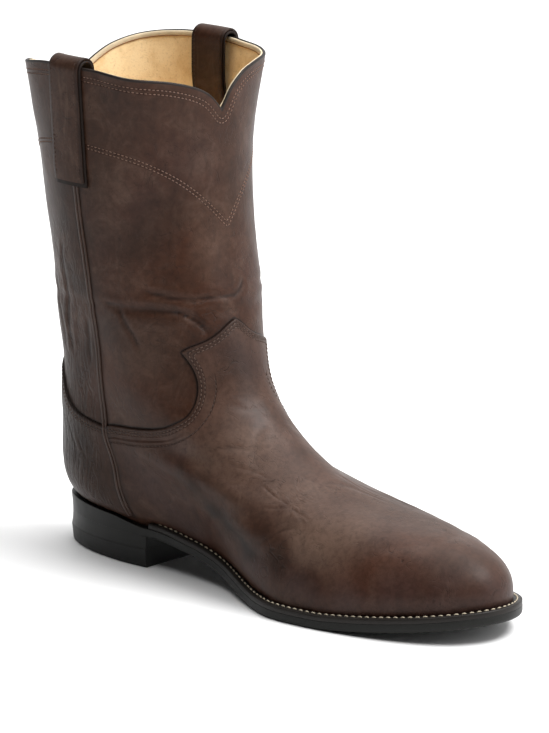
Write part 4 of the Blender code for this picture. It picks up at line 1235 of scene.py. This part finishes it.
def capsule(length, thick):
    """Unit stitch: a bead along x with its ends turned down into the leather."""
    prof = ((-0.5, 0.15, -0.9), (-0.38, 0.75, -0.1), (-0.12, 1.0, 0.25), (0.12, 1.0, 0.25), (0.38, 0.75, -0.1), (0.5, 0.15, -0.9))
    pts, faces = [], []
    n = 6
    for x, r, up in prof:
        for k in range(n):
            a = TAU * k / n
            pts.append((x * length, r * thick / 2 * math.cos(a), up * thick * 0.5 + r * thick / 2 * math.sin(a)))
    for i in range(len(prof) - 1):
        for k in range(n):
            j = (k + 1) % n
            faces.append((i * n + k, i * n + j, (i + 1) * n + j, (i + 1) * n + k))
    faces.append(tuple(range(n))[::-1])
    faces.append(tuple(range((len(prof) - 1) * n, len(prof) * n)))
    return np.array(pts), faces


def sew(name, runs, material, pitch, length, thick, lift=0.0, normal_of=None):
    """Stitches along each run of points. normal_of gives the surface direction at the points."""
    unit_pts, unit_faces = capsule(length, thick)
    vs, fs = [], []
    count = 0
    for run in runs:
        if len(run) < 2:
            continue
        pts = resample(run, pitch)
        mids = (pts[:-1] + pts[1:]) / 2
        tang = unit(pts[1:] - pts[:-1])
        nn = normal_of(mids) if normal_of else normals_at(mids)
        nn = unit(nn - (nn * tang).sum(1, keepdims=True) * tang)
        side = np.cross(nn, tang)
        for m, t, s, n in zip(mids + nn * lift, tang, side, nn):
            vs.append(m + unit_pts[:, :1] * t + unit_pts[:, 1:2] * s + unit_pts[:, 2:3] * n)
            fs += [tuple(count + i for i in f) for f in unit_faces]
            count += len(unit_pts)
    obj = make(name, np.concatenate(vs), fs, material)
    return obj


def runs_of(field, level, test, least=4.0):
    """Pieces of the line field = level, kept where test(points) holds."""
    out = []
    for line in iso_lines(GRID_ATTR[:, :3], GRID_TRIS, field, level):
        if len(line) < 4:
            continue
        for _ in range(3):
            line[1:-1] = 0.25 * line[:-2] + 0.5 * line[1:-1] + 0.25 * line[2:]
        ok = test(line)
        start = None
        for i, good in enumerate(list(ok) + [False]):
            if good and start is None:
                start = i
            if not good and start is not None:
                seg = line[start:i]
                if len(seg) > 3 and np.linalg.norm(np.diff(seg, axis=0), axis=1).sum() > least:
                    out.append(seg)
                start = None
    return out


def off_seam(pts, gap=2.2):
    a, _ = to_line(pts, SEAMS["inner"][1])
    b, _ = to_line(pts, SEAMS["outer"][1])
    return np.minimum(a, b) > gap


def off_strap(pts):
    return ~((np.abs(pts[:, 1] - STRAP_CENTRE) < STRAP_WIDTH / 2 + 0.5) & (pts[:, 2] > STRAP_FOOT - 4))


full_loop = d_loop
edge_lift = LAYER - 0.02
sew("stitches_vamp", runs_of(full_loop, 1.8, off_seam) + runs_of(full_loop, 3.5, off_seam), M_THREAD,
    2.3, 1.75, 0.55, edge_lift)
inner_row = runs_of(np.where(d_vamp > -7, d_vamp, -8.0), 8.9, lambda p: off_seam(p, 3.0) & (p[:, 2] > 60) & (p[:, 2] < 107))
sew("stitches_vamp_second", inner_row, M_THREAD_DARK, 2.5, 1.8, 0.55, edge_lift)
sew("stitches_chevron", runs_of(d_chev, 0.9, lambda p: off_seam(p) & off_strap(p)) + runs_of(d_chev, -0.9, lambda p: off_seam(p) & off_strap(p)),
    M_THREAD_SHAFT, 2.2, 1.6, 0.5, 0.0)
sew("stitches_collar", runs_of(d_top, 3.4, lambda p: off_seam(p) & off_strap(p)) + runs_of(d_top, 5.6, lambda p: off_seam(p) & off_strap(p)),
    M_THREAD_SHAFT, 2.2, 1.6, 0.5, 0.0)


# ---------------------------------------------------------------- side seams
def tube_on(name, line, nrm, offset, radius, lift, material, sides=8, squash=1.0):
    """Cord laid on the surface along line, moved sideways by offset."""
    tang = unit(np.gradient(line, axis=0))
    side = unit(np.cross(nrm, tang))
    c = line + side * offset + nrm * lift
    loops = []
    for k in range(sides):
        a = TAU * k / sides
        loops.append(c + side * (radius * math.cos(a)) + nrm * (radius * squash * math.sin(a)))
    n = len(c)
    faces = []
    for k in range(sides):
        j = (k + 1) % sides
        for i in range(n - 1):
            faces.append((k * n + i, k * n + i + 1, j * n + i + 1, j * n + i))
    faces.append(tuple(k * n for k in range(sides)))
    faces.append(tuple(k * n + n - 1 for k in range(sides)))
    return np.concatenate(loops), faces


def seam_cords(side_name):
    q, line = SEAMS[side_name]
    keep = (line[:, 2] < 262) & (line[:, 2] > 24.5)
    line = line[keep]
    for _ in range(6):
        line[1:-1] = 0.25 * line[:-2] + 0.5 * line[1:-1] + 0.25 * line[2:]
    nrm = normals_at(line)
    for _ in range(6):
        nrm = unit(np.concatenate([nrm[:1], 0.25 * nrm[:-2] + 0.5 * nrm[1:-1] + 0.25 * nrm[2:], nrm[-1:]]))
    lift = np.interp(line[:, 2], [70, 76], [LAYER * 0.75, 0.15])[:, None]
    line = line + nrm * lift
    v1, f1 = tube_on("a", line, nrm, 0.85, 0.82, 0.12, None, 8, 1.05)
    v2, f2 = tube_on("b", line, nrm, -0.95, 0.78, 0.02, None, 8, 0.95)
    f2 = [tuple(i + len(v1) for i in f) for f in f2]
    obj = make("seam_cord_" + side_name, np.concatenate([v1, v2]), f1 + f2, M_CORD)
    outward(obj)
    return obj


seam_cords("inner")
seam_cords("outer")


# ---------------------------------------------------------------- pull straps
def strap_path(outer_side):
    rim = 264.8 if outer_side else 261.9
    t = STRAP_THICK
    e_out = 0.5 + t / 2
    e_in = -(WALL + STRAP_SLACK + t / 2)
    rad = (e_out - e_in) / 2
    arc_z = rim - 1.0
    path = [(e_out, float(z)) for z in np.linspace(STRAP_FOOT, arc_z, 26)[:-1]]
    for k in np.linspace(0, math.pi, 22):
        path.append(((e_out + e_in) / 2 + rad * math.cos(k), arc_z + rad * math.sin(k)))
    close = -(WALL + 0.5 + t / 2)
    for k in np.linspace(0, 1, 26)[1:]:
        z = arc_z + (STRAP_TAIL - arc_z) * k
        path.append((e_in + (close - e_in) * float(curve([0, 0.25, 0.6, 1.0], [0, 0.18, 0.95, 1.0], k)), float(z)))
    return np.array(path), rim


def strap_layer(name, outer_side, width, lo, hi, foot, tail, material):
    """One of the strap's two layers, from depth lo to hi off the strap's middle (outwards +)."""
    sign = 1.0 if outer_side else -1.0
    p, rim = strap_path(outer_side)
    p = p.copy()
    p[0, 1] = foot
    p[-1, 1] = tail
    d = np.gradient(p, axis=0)
    d /= np.linalg.norm(d, axis=1, keepdims=True)
    nn = np.stack([d[:, 1], -d[:, 0]], axis=1)
    w = width / 2
    r = min(0.45, (hi - lo) / 2.2)
    sec = [(-w, (lo + hi) / 2 + 0.1), (-w + r * 0.3, hi - r * 0.3), (-w + r, hi)]
    sec += [(v, hi) for v in np.linspace(-w + 2.2, w - 2.2, 9)]
    sec += [(w - r, hi), (w - r * 0.3, hi - r * 0.3), (w, (lo + hi) / 2 + 0.1), (w, (lo + hi) / 2 - 0.1), (w - r * 0.3, lo + r * 0.3), (w - r, lo)]
    sec += [(v, lo) for v in np.linspace(w - 2.2, -w + 2.2, 5)]
    sec += [(-w + r, lo), (-w + r * 0.3, lo + r * 0.3), (-w, (lo + hi) / 2 - 0.1)]
    verts = []
    tone_ = []
    for i, ((e, z), nv) in enumerate(zip(p, nn)):
        zc = min(z, rim)
        for da, off in sec:
            a = STRAP_CENTRE + da
            xs = side_x(outer_side, a, zc)
            wave = 0.22 * math.sin(z * 0.11 + (2 if outer_side else 0)) * math.cos(da * 0.12)
            verts.append((xs + sign * (e + nv[0] * (off + wave * 0.5)), a, z + nv[1] * off))
            tone_.append(da)
    m = len(sec)
    n = len(p)
    faces = []
    for i in range(n - 1):
        for k in range(m):
            j = (k + 1) % m
            faces.append((i * m + k, i * m + j, (i + 1) * m + j, (i + 1) * m + k))
    faces.append(tuple(range(m)))
    faces.append(tuple(range((n - 1) * m, n * m)))
    obj = make(name, np.array(verts), faces, material, sharp=60, attrs={"across": tone_})
    outward(obj)
    return obj, p, nn


def strap_rows(outer_side, p, nn, hi, width):
    """Lines for the stitches near both edges of a strap."""
    sign = 1.0 if outer_side else -1.0
    rim = 264.8 if outer_side else 261.9
    out = []
    dirs = []
    for da in (-width / 2 + 2.0, width / 2 - 2.0):
        line = []
        for (e, z), nv in zip(p, nn):
            xs = side_x(outer_side, STRAP_CENTRE + da, min(z, rim))
            line.append((xs + sign * (e + nv[0] * hi), STRAP_CENTRE + da, z + nv[1] * hi))
        out.append(np.array(line))
    ref = np.array([(sign * nv[0], 0.0, nv[1]) for nv in nn])
    return out, ref


for outer_side, tag in ((False, "inner"), (True, "outer")):
    top, p, nn = strap_layer("strap_face_" + tag, outer_side, STRAP_WIDTH - 1.2, 0.08, STRAP_THICK / 2 + 0.1, STRAP_FOOT + 0.8, STRAP_TAIL + 2, M_STRAP)
    back, _, _ = strap_layer("strap_back_" + tag, outer_side, STRAP_WIDTH + 0.4, -STRAP_THICK / 2, 0.0, STRAP_FOOT - 1.6, STRAP_TAIL, M_EDGE)
    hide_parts("pull_strap_" + tag)
    lines, ref = strap_rows(outer_side, p, nn, STRAP_THICK / 2 + 0.1, STRAP_WIDTH - 1.2)
    for line in lines:
        line[0, 2] += 2.0
    tree = KDTree(len(lines[0]))
    for i, c in enumerate(lines[0]):
        tree.insert((c[0], STRAP_CENTRE, c[2]), i)
    tree.balance()
    sew("stitches_strap_" + tag, lines, M_THREAD_DARK, 2.3, 1.6, 0.42, -0.02,
        normal_of=lambda m: np.array([ref[tree.find((c[0], STRAP_CENTRE, c[2]))[1]] for c in m]))


# ---------------------------------------------------------------- sole, welt and heel
def heel_weight(a):
    return np.interp(a, [0, 45, 84, 96], [1.0, 0.85, 0.45, 0.0])


def heel_inset(z, a):
    return -1.3 * np.interp(a, [0, 50, 96, 110], [1.0, 0.8, 0.25, 0.0]) + HEEL_WAIST * curve([-1, 0, 8, 12, 17, 21, 24, 27], [0.35, 0.3, 0.12, 0.75, 1.0, 0.62, 0.1, 0.0], z) * heel_weight(a)


def outline_at(theta, z_of_a, inset=0.0):
    x, a = outline(theta)
    for _ in range(2):
        z = z_of_a(a)
        x, a = outline(theta, inset + heel_inset(z, a))
    return np.stack([x, a, z_of_a(a)], axis=1)


def across(n):
    half = n // 2
    faces = [(0, 1, n - 1), (half - 1, half, half + 1)]
    for i in range(1, half - 1):
        faces.append((i, i + 1, n - i - 1, n - i))
    return faces


def stack_rings(name, rings_list, material, sharp=40):
    n = len(rings_list[0])
    faces = quads(len(rings_list), n, True)
    for b in (0, (len(rings_list) - 1) * n):
        faces += [tuple(b + i for i in f) for f in across(n)]
    obj = make(name, np.concatenate(rings_list), faces, material, sharp=sharp)
    outward(obj)
    return obj


st = np.linspace(0, TAU, 361)[:-1]
mixz = lambda k: (lambda a: under(a) * (1 - k) + sole_top(a) * k)
at_heel = 1 - 1.0 * np.interp(outline(st)[1], [80, 90], [1.0, 0.0])
sole = stack_rings("sole_layer", [
    outline_at(st, lambda a: under(a), 3.0), outline_at(st, lambda a: under(a) + 0.02, 1.1 * at_heel), outline_at(st, lambda a: under(a) + 0.25, 0.55 * at_heel),
    outline_at(st, lambda a: under(a) + 0.8, 0.18 * at_heel), outline_at(st, mixz(0.35), 0.0), outline_at(st, mixz(0.6), 0.0),
    outline_at(st, lambda a: sole_top(a) - 0.5, 0.02), outline_at(st, lambda a: sole_top(a) - 0.15, 0.06),
    outline_at(st, lambda a: sole_top(a), 0.22), outline_at(st, lambda a: sole_top(a), 4.0)], M_SOLE)
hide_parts("outsole")

s0 = (84.6 - SOLE_BACK) / (SOLE_FRONT - SOLE_BACK)
t0 = math.acos(1 - 2 * s0)
wt = np.linspace(t0, TAU - t0, 420)
zb = lambda a: sole_top(a) + 0.03
zt = lambda a: edge_top(a)
WEDGE = []
for inset, zf in ((0.18, lambda a: zb(a)), (0.08, lambda a: zb(a) + 0.15), (0.1, lambda a: zt(a) - 0.7), (0.3, lambda a: zt(a) - 0.25), (0.75, lambda a: zt(a))):
    x, a = outline(wt, inset)
    WEDGE.append(np.stack([x, a, zf(a)], 1))
f_in = feather(wt) + 0.6
for frac, dz in ((0.45, 0.05), (0.75, 0.0), (1.0, -0.35)):
    x, a = outline(wt, 0.75 + (f_in - 0.75) * frac)
    WEDGE.append(np.stack([x, a, zt(a) + dz], 1))
x, a = outline(wt, f_in)
WEDGE.append(np.stack([x, a, zb(a)], 1))
nw, mw = len(wt), len(WEDGE)
wf = []
for k in range(mw):
    j = (k + 1) % mw
    for i in range(nw - 1):
        wf.append((k * nw + i, k * nw + i + 1, j * nw + i + 1, j * nw + i))
wf.append(tuple(k * nw for k in range(mw)))
wf.append(tuple(k * nw + nw - 1 for k in range(mw)))
welt = make("welt_strip", np.concatenate(WEDGE), wf, M_WELT, sharp=45)
outward(welt)
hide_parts("welt")

x, a = outline(wt[3:-3], 2.7)
welt_line = np.stack([x, a, zt(a) + 0.08], 1)
sew("stitches_welt", [welt_line], M_THREAD_WELT, 3.9, 2.6, 0.82, 0.06,
    normal_of=lambda m: np.tile((0.0, 0.0, 1.0), (len(m), 1)))


def lift_line(a):
    return LIFT_BACK + (LIFT_FRONT - LIFT_BACK) * np.clip(a, 0, 90) / 80.0


def heel_ring(z_of_a, inset, taper):
    h0 = (BREAST - SOLE_BACK) / (SOLE_FRONT - SOLE_BACK)
    t1 = math.acos(1 - 2 * h0)
    theta = np.linspace(-t1, t1, 161)
    pts = outline_at(theta % TAU, z_of_a, inset)
    ins = pts[:, 1] <= BREAST
    pts[:, 0] = SOLE_CENTRE_X + (pts[:, 0] - SOLE_CENTRE_X) * (1 - taper / 60.0)
    pts[:, 1] = np.where(ins, pts[:, 1], BREAST)
    pts[:, 1] += taper * 0.9 * np.clip(1 - pts[:, 1] / BREAST, 0, 1)
    pts[0, 1] = pts[-1, 1] = BREAST
    k = np.linspace(0, 1, 25)[1:-1]
    bow = 2.2 * (1 - (2 * k - 1) ** 2)
    line = np.stack([pts[-1, 0] * (1 - k) + pts[0, 0] * k, BREAST - bow, np.zeros(len(k))], axis=1)
    allp = np.concatenate([pts, line])
    allp[:, 2] = z_of_a(allp[:, 1])
    return allp


def heel_stack(name, rings_list, material):
    n = len(rings_list[0])
    verts = list(np.concatenate(rings_list))
    faces = quads(len(rings_list), n, True)
    for b, r in ((0, rings_list[0]), ((len(rings_list) - 1) * n, rings_list[-1])):
        A = np.c_[r[:, 1], np.ones(len(r))]
        k, q = np.linalg.lstsq(A, r[:, 2], rcond=None)[0]
        verts.append(np.array([SOLE_CENTRE_X, 44.0, k * 44.0 + q]))
        c = len(verts) - 1
        faces += [(b + i, b + (i + 1) % n, c) for i in range(n)]
    obj = make(name, np.array(verts), faces, material, sharp=38)
    outward(obj)
    return obj


h_top = lambda a: np.full(np.shape(a), HEEL_HEIGHT - 0.01)
h_low = lambda a: lift_line(a) + 0.03
h_mid = lambda k: (lambda a: h_low(a) * (1 - k) + h_top(a) * k)
heel = heel_stack("heel_block", [heel_ring(h_low, 0.10, 0.2), heel_ring(lambda a: h_low(a) + 0.1, 0.06, 0.2), heel_ring(h_mid(0.3), 0.06, 0.2),
                                 heel_ring(h_mid(0.65), 0.04, 0.1), heel_ring(lambda a: h_top(a) - 0.1, 0.0, 0.0), heel_ring(h_top, 0.0, 0.0)],
                  M_HEEL)
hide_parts("heel_base")
l_flat = lambda a: np.zeros(np.shape(a))
lift = heel_stack("heel_lift", [heel_ring(l_flat, 0.9, 1.0), heel_ring(lambda a: np.full(np.shape(a), 0.25), 0.35, 0.95),
                                heel_ring(lambda a: np.full(np.shape(a), 0.8), 0.1, 0.9), heel_ring(lambda a: lift_line(a) - 0.5, 0.0, 0.2),
                                heel_ring(lambda a: lift_line(a) - 0.1, 0.04, 0.2), heel_ring(lift_line, 0.18, 0.2)], M_LIFT)
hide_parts("top_lift")

# the sock inside keeps its own solid
sock = frame["nodes"]["insole"]
sock.data.materials.clear()
sock.data.materials.append(M_LINING)

# ---------------------------------------------------------------- floor, light and camera
fm = Mat("floor_pale")
fm.put("Base Color", fm.mix(fm.noise(3.0, 2.0), (0.86, 0.86, 0.86), (0.88, 0.88, 0.88))).put("Roughness", 0.6).put("Specular IOR Level", 0.3)
fmesh = bpy.data.meshes.new("floor")
S = 6.0
fmesh.from_pydata([(-S, -S, 0), (S, -S, 0), (S, S, 0), (-S, S, 0)], [], [(0, 1, 2, 3)])
floor = bpy.data.objects.new("floor", fmesh)
bpy.context.scene.collection.objects.link(floor)
fmesh.materials.append(fm.m)
floor.location.z = -0.0001

PSI = 0.754952
PITCH = math.radians(13.3801)
CAM = (-2074.2, 2193.2, 806.06)
cam_pos = Vector(world(np.array(CAM)).tolist())
fwd = Vector((math.sin(PSI) * math.cos(PITCH), math.cos(PSI) * math.cos(PITCH), -math.sin(PITCH)))
right = Vector((math.cos(PSI), -math.sin(PSI), 0.0))
up = right.cross(fwd)
# the camera stands where the photograph's did and turns until the one boot is in the middle
TURN = math.radians(2.0883943)
view_fwd = fwd * math.cos(TURN) + right * math.sin(TURN)
view_right = right * math.cos(TURN) - fwd * math.sin(TURN)

world_ = bpy.data.worlds.new("studio")
bpy.context.scene.world = world_
world_.use_nodes = True
wt_ = world_.node_tree
bg = wt_.nodes["Background"]
tc = wt_.nodes.new("ShaderNodeTexCoord")
# the studio is white behind and above the boot and darker where the camera stands
dot = wt_.nodes.new("ShaderNodeVectorMath")
dot.operation = "DOT_PRODUCT"
wt_.links.new(tc.outputs["Generated"], dot.inputs[0])
dot.inputs[1].default_value = (-fwd.x - 0.75 * right.x, -fwd.y - 0.75 * right.y, 0.15)
mr = wt_.nodes.new("ShaderNodeMapRange")
mr.interpolation_type = "SMOOTHSTEP"
for key, val in (("From Min", -0.55), ("From Max", 0.45), ("To Min", 1.15), ("To Max", 0.05)):
    mr.inputs[key].default_value = val
wt_.links.new(dot.outputs["Value"], mr.inputs["Value"])
seen = wt_.nodes.new("ShaderNodeLightPath")
pick_ = wt_.nodes.new("ShaderNodeMix")
pick_.data_type = "FLOAT"
wt_.links.new(seen.outputs["Is Camera Ray"], pick_.inputs[0])
wt_.links.new(mr.outputs["Result"], pick_.inputs[2])
pick_.inputs[3].default_value = 1.1
wt_.links.new(pick_.outputs[0], bg.inputs["Strength"])
bg.inputs["Color"].default_value = (1.0, 1.0, 1.0, 1.0)


def softbox(name, place, aim, size, power, size_y=None):
    light = bpy.data.lights.new(name, "AREA")
    light.shape = "RECTANGLE"
    light.size = size
    light.size_y = size_y or size
    light.energy = power
    o = bpy.data.objects.new(name, light)
    bpy.context.scene.collection.objects.link(o)
    o.location = place
    o.rotation_mode = "QUATERNION"
    o.rotation_quaternion = (Vector(aim) - Vector(place)).to_track_quat("-Z", "Y")
    return o


sky = bpy.data.lights.new("light_over", "SUN")
sky.energy = 2.7
sky.angle = math.radians(75)
sky_obj = bpy.data.objects.new("light_over", sky)
bpy.context.scene.collection.objects.link(sky_obj)
sky_obj.rotation_mode = "QUATERNION"
sky_obj.rotation_quaternion = Vector((-0.06, 0.12, -1.0)).to_track_quat("-Z", "Y")
softbox("light_top", (0.55, -1.15, 1.9), (0, 0, 0.1), 1.5, 43, 0.8)
softbox("light_right", (0.9, -2.4, 1.1), (0, 0, 0.1), 0.8, 12, 1.6)
spot = bpy.data.lights.new("light_collar", "SPOT")
spot.energy = 26
spot.spot_size = math.radians(7.5)
spot.spot_blend = 0.9
spot.shadow_soft_size = 0.12
spot_obj = bpy.data.objects.new("light_collar", spot)
bpy.context.scene.collection.objects.link(spot_obj)
spot_obj.location = (-0.35, -0.75, 1.45)
spot_obj.rotation_mode = "QUATERNION"
spot_obj.rotation_quaternion = (Vector((0.02, 0.125, 0.235)) - spot_obj.location).to_track_quat("-Z", "Y")

cam = bpy.data.cameras.new("camera")
cam.sensor_fit = "HORIZONTAL"
cam.sensor_width = 36.0
cam.lens = 5899.9 / 549 * 36.0
cam.dof.use_dof = False
cam.clip_end = 100
cam_obj = bpy.data.objects.new("camera", cam)
bpy.context.scene.collection.objects.link(cam_obj)
rot = Matrix((view_right, up, -view_fwd)).transposed().to_4x4()
cam_obj.matrix_world = Matrix.Translation(cam_pos) @ rot
bpy.context.scene.camera = cam_obj
vs_ = bpy.context.scene.view_settings
vs_.view_transform = "Standard"
vs_.look = "None"
vs_.exposure = 0.0
vs_.gamma = 1.0
